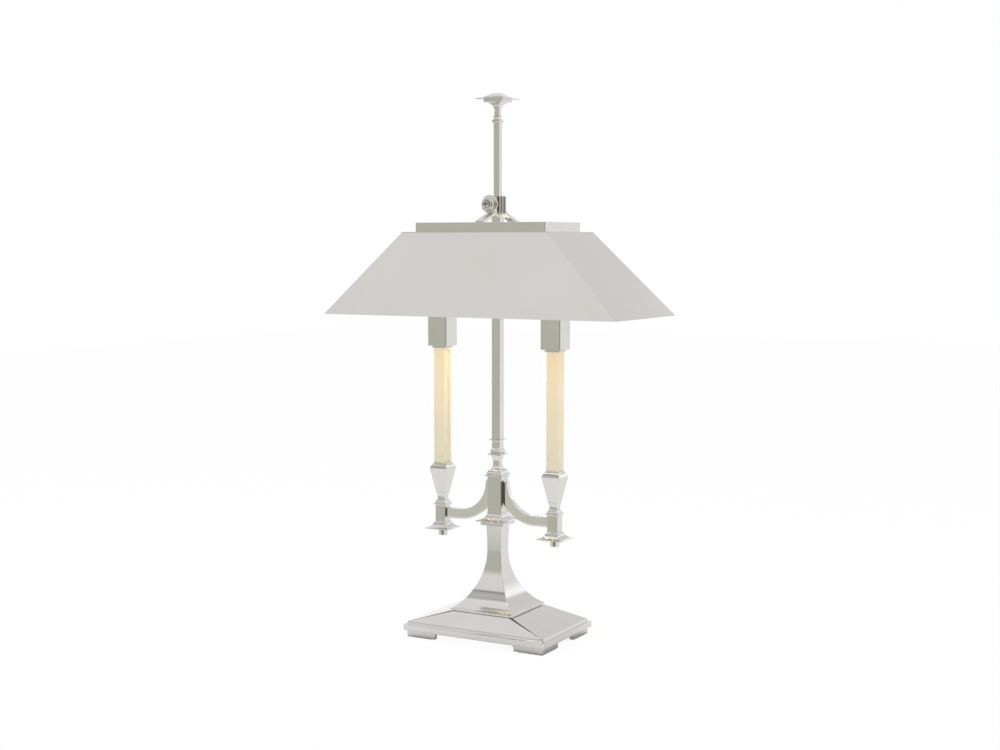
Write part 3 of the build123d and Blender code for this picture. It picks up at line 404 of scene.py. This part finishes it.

# Painted dark reflection: a dark line on the hips, narrowing from the column's corner to the rim.
nickel_painted_hips = finish_of("nickel_painted_hips", *plating, metallic=1.0)
tree = nickel_painted_hips.node_tree
spot = place_on(tree)
past_x = maths(tree, "SUBTRACT", maths(tree, "ABSOLUTE", spot["X"]), seat * 0.001)
past_y = maths(tree, "SUBTRACT", maths(tree, "ABSOLUTE", spot["Y"]), seat * 0.001)
hip_x, hip_y = rim_x - cove_in - seat, rim_y - cove_in - seat
hip = float(np.hypot(hip_x, hip_y))
aside = maths(
    tree,
    "SUBTRACT",
    maths(tree, "MULTIPLY", past_x, hip_y / hip),
    maths(tree, "MULTIPLY", past_y, hip_x / hip),
)
painted_line_half = ranged(tree, past_x, 0.0, hip_x * 0.001, 0.0014, 0.0003)
beyond = maths(tree, "SUBTRACT", maths(tree, "ABSOLUTE", aside), painted_line_half)
darken(nickel_painted_hips, ranged(tree, beyond, -0.0003, 0.0002, 1.0, 0.0))

cove = tangent_arc((0.8, rim_top), (cove_in, rim_top + 4), (1, 0), 7)
plinth = square_moulding(
    "plinth",
    [
        [(ledge_x, ledge_y, rim_z), (rim_x, rim_y, rim_z), (rim_x, rim_y, rim_top)],
        np.c_[rim_x - cove[:, 0], rim_y - cove[:, 0], cove[:, 1]],
        [(seat, seat, top_z)],
        circle_rows((bore, top_z), (bore, top_z - top_thick)),
        [(seat + 3, seat, top_z - top_thick), (wall_x, wall_y, wall_z)],
        [(wall_x, wall_y, ledge_z), (ledge_x, ledge_y, ledge_z)],
    ],
    nickel_painted_hips,
    edge=0.7,
    corner=1.8,
)
fit(plinth, "lamp", "nickel", "base_plinth")

# Bracket feet: the skirt below the rim is cut away between its corners, with a round at each end
# of the gap, so that four angled feet are left. They are one casting with the plinth.
sole_z, spring_z, gap_round, foot_long, foot_thick = 0.6, 4.7, 4.0, 47.0, 7.0
skirt_x, skirt_y = rim_x - 4.5, rim_y - 4.5


def skirt_side(half, steps=6):
    """One side of the skirt: distances from its middle and the lower edge's heights. The edge is
    high along the gap, follows a quarter circle at its end, drops, and is low along the foot."""
    turn = np.linspace(0, np.pi / 2, steps)
    gap = half - foot_long
    along = np.r_[gap - gap_round + gap_round * np.sin(turn), gap, half]
    height = np.r_[spring_z + gap_round * np.cos(turn), sole_z, sole_z]
    return np.r_[-along[::-1], along], np.r_[height[::-1], height]


long_run, long_low = skirt_side(skirt_x)
short_run, short_low = skirt_side(skirt_y)
lower = np.r_[long_low, short_low, long_low, short_low]
top = np.full(lower.shape, rim_z)
walls = []
for inset in (0.0, foot_thick):
    side_x = np.full(short_run.shape, skirt_x - inset)
    side_y = np.full(long_run.shape, skirt_y - inset)
    run_x = np.clip(long_run, -side_x[0], side_x[0])
    run_y = np.clip(short_run, -side_y[0], side_y[0])
    walls.append(np.c_[np.r_[run_x, side_x, -run_x, -side_x], np.r_[-side_y, run_y, side_y, -run_y]])
outer, inner = walls
rows = ((inner, lower), (outer, lower), (outer, top), (inner, top))
feet = skin("bracket_feet", np.stack([np.c_[line, height] for line, height in rows]), True, nickel)
shell = bmesh.new()
shell.from_mesh(feet.data)
bmesh.ops.remove_doubles(shell, verts=shell.verts, dist=1e-6)
bmesh.ops.dissolve_degenerate(shell, edges=shell.edges, dist=1e-6)
bmesh.ops.recalc_face_normals(shell, faces=shell.faces)
shell.to_mesh(feet.data)
shell.free()


def soften(piece, width):
    """Rounds every sharp edge of a piece by a small width, with the flats kept flat."""
    bevel = piece.modifiers.new("edges", "BEVEL")
    bevel.width = width * 0.001
    bevel.segments = 2
    bevel.limit_method = "ANGLE"
    bevel.angle_limit = np.radians(40)
    bevel.harden_normals = True


soften(feet, 0.4)
fit(feet, "lamp", "nickel", "base_plinth")

# Felt strips glued under the feet, so that the metal doesn't mark the table.


def dress(material, *names):
    """Gives solids that keep their own shape a finish."""
    for name in names:
        nodes[name].data.materials.clear()
        nodes[name].data.materials.append(material)


felt = finish_of("felt", (0.028, 0.034, 0.030), (0.060, 0.068, 0.060), 900.0, 0.85, 1.0, 0.6)
dress(felt, "foot_pads")

# Underside: a zinc-plated sheet cover held by four pan-head screws, and a black rubber bushing that
# lines the cord's hole.
zinc = finish_of("zinc", (0.56, 0.56, 0.55), (0.44, 0.45, 0.46), 120.0, 0.28, 0.45, 0.05, metallic=1.0)
rubber = finish_of("rubber", (0.018, 0.018, 0.018), (0.030, 0.030, 0.029), 300.0, 0.45, 0.65, 0.1)
dress(zinc, "base_cover", "cover_screws")
dress(rubber, "cord_bushing")

# Inside the base: a cast-iron weight, and the threaded steel tube with its washer and nuts that
# clamps base, column and hub together.
iron = finish_of("iron", (0.055, 0.052, 0.050), (0.085, 0.080, 0.076), 160.0, 0.55, 0.80, 0.8)
dress(iron, "ballast_weight")
dress(zinc, "tie_washer", "tie_nut", "tie_tube", "hub_nut")

# Column: one hollow casting, square all the way up. A flat edge at the foot with a shadow gap below
# it, a hollow sweep to a slim waist, then a slow spread to the top.


def cubic(*points, steps=20):
    """A cubic curve pulled by four points."""
    t = np.linspace(0, 1, steps)[:, None]
    p = np.asarray(points, float)
    s = 1 - t
    return s**3 * p[0] + 3 * t * s**2 * p[1] + 3 * t**2 * s * p[2] + t**3 * p[3]


foot_z, waist_z, head_z = 41.2, 127.0, 165.5
foot, gap, waist, head = 51.0, 48.6, 11.5, 12.5
hollow, hollow_foot, hollow_z = 7.5, 43.0, head_z - 4
sweep = ((foot, foot_z + 3.4), (31.04, foot_z + 13.57), (waist, waist_z - 37), (waist, waist_z))
column = square_moulding(
    "column",
    [
        [(hollow_foot, foot_z), (gap, foot_z), (gap, foot_z + 1.3), (foot, foot_z + 1.4)],
        cubic(*sweep, steps=40),
        tangent_arc((waist, waist_z), (head, head_z), (0, 1), 12)[1:],
        circle_rows((bore, head_z), (bore, hollow_z)),
        [(hollow, hollow_z)],
        tangent_arc((hollow, waist_z), (hollow_foot, foot_z), (0, -1), 16)[:-1],
    ],
    nickel,
)
fit(column, "lamp", "nickel", "pedestal_column")

# Hub: a flared tray with a thin edge, the square block that carries the arms, and a domed cap that
# plugs into it. All three are milled from solid metal and plated.
tray_z, hub_z, cap_z = 165.5, 184.0, 236.0
hub_half, step_half, tray_half = 11.35, 18.5, 24.3
well, plug, plug_z = 7.5, 7.4, cap_z - 8
tray = square_moulding(
    "tray",
    [
        [(step_half, tray_z), (step_half, tray_z + 3.5), (tray_half, tray_z + 5.7)],
        tangent_arc((hub_half, hub_z), (tray_half, tray_z + 6.9), (0, -1), 16)[::-1],
        circle_rows((bore, hub_z), (bore, tray_z)),
    ],
    nickel,
    edge=0.4,
)
fit(tray, "lamp", "nickel", "hub_tray")
hub = square_moulding(
    "hub",
    [
        [(hub_half, hub_z), (hub_half, cap_z)],
        circle_rows((well, cap_z), (well, hub_z + 8), (bore, hub_z + 8), (bore, hub_z)),
    ],
    nickel,
    edge=0.8,
    corner=0.8,
)
fit(hub, "lamp", "nickel", "arm_hub")
cap = square_moulding(
    "cap",
    [
        tangent_arc((hub_half, cap_z), (12.5, cap_z + 0.8), (0, 1), 4),
        [(13.8, cap_z + 0.8), (13.8, cap_z + 2.8)],
        tangent_arc((12.5, cap_z + 2.8), (7.2, cap_z + 11.5), (0, 1), 14),
        circle_rows((4.5, cap_z + 11.5), (4.5, plug_z), (plug, plug_z), (plug, cap_z)),
    ],
    nickel,
    edge=0.4,
)
fit(cap, "lamp", "nickel", "hub_cap")

# Baluster: a small square moulding between hub and stem, with a waist, a cup, a thin plate, a bead,
# a neck and a lip. A round spigot at each end holds it. The bead is a quadratic curve pulled by
# three points.
low_z, bead_z, stem_z, spigot = 247.5, 270.2, 291.3, 4.4
t = np.linspace(0, 1, 12)[:, None]
bead_low, bead_pull, bead_high = np.array([(7.2, bead_z), (9.95, bead_z + 3.5), (6.3, bead_z + 7)])
bead = (1 - t) ** 2 * bead_low + 2 * t * (1 - t) * bead_pull + t**2 * bead_high
baluster = square_moulding(
    "baluster",
    [
        circle_rows((spigot, low_z - 19.5), (spigot, low_z)),
        tangent_arc((5.1, low_z + 9), (7.2, low_z), (0, -1), 10)[::-1],
        tangent_arc((5.1, low_z + 9), (8, low_z + 20), (0, 1), 12)[1:],
        [(11, low_z + 20.9), (11, bead_z)],
        bead,
        tangent_arc((6.3, stem_z - 4.1), (9.1, stem_z - 1.8), (0, 1), 8),
        [(9.1, stem_z)],
        circle_rows((spigot, stem_z), (spigot, stem_z + 20)),
    ],
    nickel,
    edge=0.35,
    ends=True,
)
fit(baluster, "lamp", "nickel", "stem_baluster")

# Stem and rod: a square drawn tube whose top is the shoulder that the shade rests on, and the
# slimmer square rod above it, on which the shade slides.
shoulder_z, collar_z = 617.3, 746.3
stem_half, stem_hole, rod_half, tenon = 6.55, 4.55, 4.45, 2.0
rod_foot = shoulder_z - 60
stem = square_moulding(
    "stem",
    [[(stem_half, stem_z), (stem_half, shoulder_z), (stem_hole, shoulder_z), (stem_hole, stem_z)]],
    nickel,
    corner=0.7,
)
fit(stem, "lamp", "nickel", "lower_stem")
rod = square_moulding(
    "rod",
    [
        [(tenon, rod_foot), (rod_half, rod_foot), (rod_half, collar_z)],
        circle_rows((tenon, collar_z), (tenon, collar_z + 18)),
    ],
    nickel,
    edge=0.3,
    corner=0.5,
    ends=True,
)
fit(rod, "lamp", "nickel", "upper_rod")

# Finial: a small flared collar, then a square neck that sweeps out to a block, a thin wide plate
# and a low crown. The rod's tenon holds both.
finial_z, finial_hole, plate_half, block_half = 757.3, 2.1, 23.8, 15.0
collar = square_moulding(
    "collar",
    [
        tangent_arc((5.25, collar_z), (6.75, collar_z + 2), (0, 1), 6),
        tangent_arc((4.0, finial_z - 2.6), (6.75, collar_z + 2.8), (0, -1), 8)[::-1],
        [(4.7, finial_z - 2.6), (4.7, finial_z - 0.8), (3.6, finial_z)],
        circle_rows((finial_hole, finial_z), (finial_hole, collar_z)),
    ],
    nickel,
    edge=0.3,
    corner=0.4,
)
fit(collar, "lamp", "nickel", "finial_collar")
finial = square_moulding(
    "finial",
    [
        circle_rows((finial_hole, finial_z + 9), (finial_hole, finial_z)),
        [(3.6, finial_z)],
        tangent_arc((3.6, finial_z + 6.5), (12, finial_z + 18.5), (0, 1), 16),
        [(block_half, finial_z + 18.5), (block_half, finial_z + 22.5)],
        [(plate_half, finial_z + 22.5), (plate_half, finial_z + 23.9)],
        [(block_half, finial_z + 23.9), (block_half, finial_z + 25.9), (6, finial_z + 31)],
    ],
    nickel,
    edge=0.35,
    corner=0.4,
    ends=True,
)
fit(finial, "lamp", "nickel", "finial")

# Arms: flat-sided hollow brackets, cast and filed flat, a lighter copy of the nickel as painted light.
# Each leaves the hub upright, bends through a quarter circle and runs level into the candle's block.


def bracket(name, upper, lower, half, across, finish, edge=0.6):
    """A rounded rectangle carried between a lower and an upper line of points in one plane: across
    the plane it is twice half wide, and in the plane it reaches from one line to the other."""
    middle, depth = (upper + lower) / 2, upper - lower
    tall = np.linalg.norm(depth, axis=1)
    ring_x, ring_z = square_ring(np.full(tall.shape, half), tall / 2, edge, np.zeros(tall.shape))
    along = middle[:, None] + ring_z[..., None] * (depth / tall[:, None])[:, None]
    columns = (along[..., 0], ring_x) if across == "y" else (ring_x, along[..., 0])
    return skin(name, np.stack((*columns, along[..., 1]), -1), False, finish)


hands = ((-1, "left"), (1, "right"))
arm_z, arm_half, block_x = 168.0, 4.5, 85.2
arm_top, crown_x = arm_z + 15.5, 18.0
bend_x, bend_z = 62.0, 227.5
meet_z = bend_z - np.sqrt((bend_z - arm_z) ** 2 - (bend_x - hub_half) ** 2)
over = np.r_[
    [(block_x, arm_top)],
    tangent_arc((bend_x, arm_top), (crown_x, bend_z), (-1, 0), 36),
    [(crown_x, bend_z + 2), (hub_half, bend_z + 4)],
]
under = np.r_[[(block_x, arm_z)], tangent_arc((bend_x, arm_z), (hub_half, meet_z), (-1, 0), 38)]
# A lighter copy of the nickel: painted light on the arms' flat sides.
bright = finish_of("painted_light_nickel", (0.81, 0.80, 0.77), (0.79, 0.775, 0.745), *plating[2:], metallic=1.0)
for side, hand in hands:
    mirror = [side, 1]
    arm = bracket(f"arm_{hand}_casting", over * mirror, under * mirror, arm_half, "y", bright, edge=1.5)
    fit(arm, "lamp", "nickel", f"arm_{hand}")

# Candle mounts: at each arm's end a square block with a thin drip pan and a round closing nut below,
# and above it a domed neck and a vase cup with a lip that takes the candle.


def turned(name, outline, x, finish, edge=0.4, columns=48):
    """A round turning on an upright axis: an outline of (radius, height) from its lower end to its
    upper end, carried round a circle."""
    line = rounded(np.asarray(outline, float), edge, closed=False)
    angle = np.linspace(0, 2 * np.pi, columns, endpoint=False)
    ring = np.stack((np.cos(angle), np.sin(angle)), -1)
    plan = line[:, 0][:, None, None] * ring + [x, 0]
    height = np.repeat(line[:, 1][:, None, None], columns, 1)
    return skin(name, np.concatenate((plan, height), -1), False, finish)


axis_x, pan_z, block_z, neck_z, vase_z, candle_z = 93.5, 151.0, 163.0, 186.3, 205.5, 244.5
mount, pan_half, pan_cove, nut_half, nut_z = 8.3, 19.8, 10.5, 6.75, pan_z - 10
cup_foot, cup_half, cup_neck, cup_socket = 7.4, 14.75, 10.6, 9.65
for side, hand in hands:
    x = side * axis_x
    block = square_moulding(
        f"block_{hand}",
        [[(mount, block_z), (mount, neck_z)], circle_rows((bore, neck_z), (bore, block_z))],
        nickel,
        edge=0.6,
        x=x,
    )
    fit(block, "lamp", "nickel", f"candle_block_{hand}")
    pan = square_moulding(
        f"pan_{hand}",
        [
            [(nut_half, pan_z), (pan_half, pan_z + 0.8)],
            tangent_arc((pan_half, pan_z + 2.2), (pan_cove, pan_z + 8.1), (-1, 0), 14),
            tangent_arc((mount, block_z), (pan_cove, block_z - 2.3), (0, -1), 6)[::-1],
            circle_rows((bore, block_z), (bore, pan_z)),
        ],
        nickel,
        edge=0.4,
        x=x,
    )
    fit(pan, "lamp", "nickel", f"drip_pan_{hand}")
    nut = turned(
        f"nut_{hand}",
        [(4, nut_z), (nut_half, nut_z), (nut_half, pan_z), (5, pan_z), (5, pan_z + 20)],
        x,
        nickel,
        edge=1.2,
    )
    fit(nut, "lamp", "nickel", f"closing_nut_{hand}")
    neck = square_moulding(
        f"neck_{hand}",
        [
            tangent_arc((mount, neck_z), (8.7, neck_z + 1.3), (0, 1), 5),
            [(10.4, neck_z + 1.3), (10.4, neck_z + 2.8)],
            tangent_arc((8.7, neck_z + 2.8), (6.7, neck_z + 8), (0, 1), 9),
            [(6, neck_z + 8)],
            tangent_arc((6, neck_z + 11), (cup_foot, vase_z), (0, 1), 8),
            circle_rows((bore, vase_z), (bore, neck_z)),
        ],
        nickel,
        edge=0.35,
        x=x,
    )
    fit(neck, "lamp", "nickel", f"vase_neck_{hand}")
    cup = square_moulding(
        f"cup_{hand}",
        [
            [(cup_foot, vase_z), (14.35, vase_z + 36), (cup_half, vase_z + 36.8), (14.2, vase_z + 37.6)],
            [(12.2, vase_z + 41.6), (cup_neck, vase_z + 43.2), (cup_neck, vase_z + 45)],
            [(cup_socket, vase_z + 45), (cup_socket, candle_z)],
            circle_rows((bore, candle_z), (bore, vase_z)),
        ],
        nickel,
        edge=0.35,
        x=x,
    )
    fit(cup, "lamp", "nickel", f"vase_cup_{hand}")

# Candles: square sleeves of smooth ivory-coloured resin, slipped over the threaded tubes that draw
# each candle group together. A painted glow, warmer towards the bulb, stands in for its light on them.


def shine(material, glow):
    """Lets a finish send out light of the glow's colour."""
    sockets = material.node_tree.nodes["Principled BSDF"].inputs
    material.node_tree.links.new(glow, sockets["Emission Color"])
    sockets["Emission Strength"].default_value = 1.0


ivory = finish_of("ivory", (0.75, 0.70, 0.555), (0.73, 0.67, 0.515), 14.0, 0.26, 0.38, 0.03)
tree = ivory.node_tree
# Painted glow: the ivory sends out warm light that fades in towards the bulb.
painted_glow = ranged(tree, place_on(tree)["Z"], 0.25, 0.42, 0.0, 1.0)
shine(ivory, between(tree, painted_glow, (0.0, 0.0, 0.0), (0.215, 0.12, 0.015)))
ring_z, sleeve_top, sleeve_half, sleeve_hole = 421.5, 423.0, 9.55, 8.05
for side, hand in hands:
    candle = square_moulding(
        f"candle_{hand}",
        [
            [(sleeve_half, candle_z), (sleeve_half, sleeve_top)],
            [(sleeve_hole, sleeve_top), (sleeve_hole, candle_z)],
        ],
        ivory,
        edge=0.4,
        corner=0.9,
        x=side * axis_x,
    )
    fit(candle, "lamp", "candle_ivory", f"candle_sleeve_{hand}")
    dress(zinc, f"candle_nipple_{hand}")

# Sockets: a plain square cover on a step ring with a shadow gap between them, nickel plated, with a
# moulded lamp holder inside and the sleeved wires that come up to it.
porcelain = finish_of("holder", (0.74, 0.72, 0.67), (0.70, 0.68, 0.62), 80.0, 0.35, 0.5, 0.05)
sleeving = finish_of("sleeving", (0.58, 0.55, 0.46), (0.50, 0.47, 0.38), 500.0, 0.5, 0.7, 0.2)
ring_half, ring_hole, gap_half, cover_half, cover_hole = 11.8, 9.65, 10.4, 15.9, 14.7
cover_z, cover_top, holder_z = ring_z + 3, ring_z + 51, 425.7
for side, hand in hands:
    cover = square_moulding(
        f"cover_{hand}",
        [
            [(ring_hole, ring_z), (ring_half, ring_z), (ring_half, ring_z + 1.8), (gap_half, ring_z + 2)],
            [(gap_half, cover_z), (cover_half, cover_z), (cover_half, cover_top)],
            [(cover_hole, cover_top), (cover_hole, holder_z)],
            circle_rows((bore, holder_z), (bore, sleeve_top)),
            [(ring_hole, sleeve_top)],
        ],
        nickel,
        edge=0.5,
        corner=1.4,
        x=side * axis_x,
    )
    fit(cover, "lamp", "nickel", f"socket_cover_{hand}")
    dress(porcelain, f"lamp_holder_{hand}")
    dress(sleeving, f"lead_{hand}")

# Bulbs: candle-shaped frosted glass on a small brass screw cap. They are lit, and light the inside
# of the shade, the candles and the metal below.
brass = finish_of("brass", (0.74, 0.54, 0.26), (0.66, 0.47, 0.22), 60.0, 0.2, 0.35, 0.03, metallic=1.0)
bulb_z, belly_z, tip_z, light_z = 467.7, 499.7, 563.7, 505.0
neck_half, belly_half = 6.3, 17.5
frosted = finish_of("frosted", (0.40, 0.34, 0.25), (0.37, 0.31, 0.22), 60.0, 0.3, 0.42, 0.02)
tree = frosted.node_tree
glow = tones(
    tree,
    ranged(tree, place_on(tree)["Z"], bulb_z * 0.001, tip_z * 0.001, 0.0, 1.0),
    (0.0, (0.20, 0.09, 0.02)),
    (0.36, (0.80, 0.47, 0.16)),
    (0.65, (0.48, 0.27, 0.09)),
    (1.0, (0.26, 0.13, 0.04)),
)
shine(frosted, glow)
belly = (belly_half, belly_z)
outline = np.r_[
    [(3.0, bulb_z), (neck_half, bulb_z)],
    cubic((neck_half, bulb_z + 6), (neck_half, bulb_z + 15), (belly_half, belly_z - 9), belly),
    cubic(belly, (belly_half, belly_z + 26), (5, tip_z), (0.2, tip_z), steps=28)[1:],
]
for side, hand in hands:
    glass = turned(f"bulb_{hand}", outline, side * axis_x, frosted)
    fit(glass, "lamp", "bulb_glass", f"bulb_glass_{hand}")
    dress(brass, f"bulb_cap_{hand}")
    name = f"bulb_light_{hand}"
    light = bpy.data.objects.new(name, bpy.data.lights.new(name, "POINT"))
    light.data.energy = 4.2
    light.data.color = (1.0, 0.89, 0.56)
    light.data.shadow_soft_size = 0.014
    light.location = (side * axis_x * 0.001, 0, light_z * 0.001)
    light.visible_glossy = False
    scene.collection.objects.link(light)
    glass.visible_shadow = False

# Shade: four flat nickel-plated sheets, mitred and soldered along the hips, with a flat flange on
# top. The inside has a plain grey lining, which looks beige in the bulbs' light.
sheet = finish_of(
    "shade_sheet", (0.70, 0.685, 0.66), (0.685, 0.665, 0.64), 9.0, 0.10, 0.17, 0.01, metallic=1.0
)
lining = finish_of("shade_lining", (0.140, 0.144, 0.178), (0.130, 0.134, 0.165), 12.0, 0.4, 0.55, 0.03)


def line_inside(piece, outward):
    """Gives the faces that look away from the outward direction the lining's finish."""
    mesh = piece.data
    mesh.materials.append(lining)
    normals = np.empty(3 * len(mesh.polygons))
    mesh.polygons.foreach_get("normal", normals)
    inward = normals.reshape(-1, 3) @ outward < -0.6
    mesh.polygons.foreach_set("material_index", inward.astype(np.int32))


shade_z, brim_z = 472.0, 590.2
low_x, low_y, high_x, high_y = 235.0, 101.2, 118.15, 72.2
vent_x, vent_y, flange_top = 97.15, 51.2, 591.2
rise = brim_z - shade_z
front_sheet = np.hypot(1, (low_y - high_y) / rise)
end_sheet = np.hypot(1, (low_x - high_x) / rise)
faces = (("front", True, 1), ("back", True, -1), ("left", False, 1), ("right", False, -1))
for name, along_x, turn in faces:
    rings = []
    for x, y, z in ((low_x, low_y, shade_z), (high_x, high_y, brim_z)):
        if along_x:
            strip = [(-x, -y), (x, -y), (x - end_sheet, front_sheet - y), (end_sheet - x, front_sheet - y)]
        else:
            strip = [(-x, y), (-x, -y), (end_sheet - x, front_sheet - y), (end_sheet - x, y - front_sheet)]
        ring = rounded(np.array(strip) * turn, 0.7)
        rings.append(np.c_[ring, np.full(len(ring), z)])
    panel = skin(f"panel_{name}", np.stack(rings), False, sheet)
    tilt = np.array([0, -rise, low_y - high_y] if along_x else [-rise, 0, low_x - high_x])
    line_inside(panel, tilt * [turn, turn, 1] / np.linalg.norm(tilt))
    fit(panel, "shade_carriage", "shade_sheet", f"shade_panel_{name}")
flange = square_moulding(
    "flange",
    [
        [(vent_x, vent_y, brim_z), (high_x, high_y, brim_z)],
        [(high_x, high_y, flange_top), (vent_x, vent_y, flange_top)],
    ],
    sheet,
    edge=0.3,
)
line_inside(flange, np.array([0, 0, 1]))
fit(flange, "shade_carriage", "shade_sheet", "shade_top_flange")

# Gallery: a frame of four angle-section rails on the flange, mitred and soldered at the corners and
# open in the middle, so that the bulbs' heat gets out.
rail_x, rail_y, rail_top, thick, leaf = 105.5, 55.0, 604.7, 2.0, 10.0
web_x, web_y = rail_x - thick, rail_y - thick
leaf_x, leaf_y = rail_x - leaf, rail_y - leaf
gallery = square_moulding(
    "gallery",
    [
        [(web_x, web_y, flange_top), (rail_x, rail_y, flange_top), (rail_x, rail_y, rail_top)],
        [(leaf_x, leaf_y, rail_top), (leaf_x, leaf_y, rail_top - thick), (web_x, web_y, rail_top - thick)],
    ],
    nickel,
    edge=0.5,
    corner=1.2,
)
rails = [f"gallery_rail_{name}" for name, _, _ in faces]
fit(gallery, "shade_carriage", "nickel", *rails)

# Slide block and straps: a grooved block that runs on the square rod, a darker copy of the nickel as
# painted shade, with darker painted shade in its grooves, and a bent strap on its front and its back
# that carries the gallery's long rails.
flank, groove_y, groove_half = 0.00825, 0.0042, 0.0013
# Painted shade: the block's nickel is a darker copy, and its grooves are painted darker still.
painted_shade = finish_of(
    "painted_shade_nickel", (0.44, 0.41, 0.35), (0.41, 0.38, 0.32), 40.0, 0.08, 0.16, 0.012, metallic=1.0
)
tree = painted_shade.node_tree
spot = place_on(tree)
off_middle = maths(tree, "SUBTRACT", maths(tree, "ABSOLUTE", spot["Y"]), groove_y)
off_middle = maths(tree, "ABSOLUTE", off_middle)
painted_groove_shade = ranged(tree, off_middle, groove_half, groove_half + 0.0003, 1.0, 0.0)
sunk = ranged(tree, maths(tree, "ABSOLUTE", spot["X"]), flank - 0.0009, flank - 0.0003, 1.0, 0.0)
darken(painted_shade, maths(tree, "MULTIPLY", painted_groove_shade, sunk))
dress(painted_shade, "slide_block")
weld = nodes["slide_block"].modifiers.new("weld", "WELD")
weld.merge_threshold = 1e-6
soften(nodes["slide_block"], 0.8)
cheek, strap_thick, strap_half = 10.0, 4.2, 6.25
strap_top, elbow_z = 641.6, 617.6
toe_in, toe_out = 45.8, 54.2
outside = [(cheek + strap_thick, strap_top), (cheek + strap_thick, elbow_z + 3), (toe_out, rail_top + 2.1)]
inside = [(cheek, strap_top), (cheek, elbow_z), (toe_in, rail_top)]
lines = [rounded(outside, 6.4, False, 16), rounded(inside, 7.2, False, 16)]
upper, lower = (np.insert(line, -1, 0.06 * line[-2] + 0.94 * line[-1], 0) for line in lines)
upper = np.r_[upper, upper[-1:]]
lower = np.r_[lower, [(toe_out, rail_top)]]
for facing, name in ((-1, "front"), (1, "back")):
    mirror = [facing, 1]
    strap = bracket(f"bent_strap_{name}", upper * mirror, lower * mirror, strap_half, "x", nickel)
    fit(strap, "shade_carriage", "nickel", f"strap_{name}")

# Thumbscrew: a turned and plated knob with two steps and a round recess in its face. Its shank goes
# through strap and block and bears on the rod.
screw_z, tip_y, shank, knob_y, knob_half = 630.6, 4.75, 3.0, 23.5, 13.2
turn = np.linspace(0, np.pi / 2, 8)[:, None]
crown = (10.8, 24.3) + np.c_[2.4 * np.cos(turn), 1.8 * np.sin(turn)]
lip = (7.2, 29.8) + 2.5 * np.c_[np.cos(2 * turn), np.sin(2 * turn)]
knob = turned(
    "knob",
    np.r_[
        [(1.5, tip_y), (shank, tip_y), (shank, knob_y), (knob_half, knob_y)],
        crown,
        [(10.8, 27.7), (9.7, 27.7)],
        lip,
        [(4.7, 29.0), (0.4, 26.6)],
    ],
    0.0,
    nickel,
    edge=0.5,
    columns=64,
)
points = np.empty(3 * len(knob.data.vertices))
knob.data.vertices.foreach_get("co", points)
points = points.reshape(-1, 3) @ [[1, 0, 0], [0, 0, 1], [0, -1, 0]] + [0, 0, screw_z * 0.001]
knob.data.vertices.foreach_set("co", points.ravel())
fit(knob, "thumbscrew", "nickel", "thumbscrew")
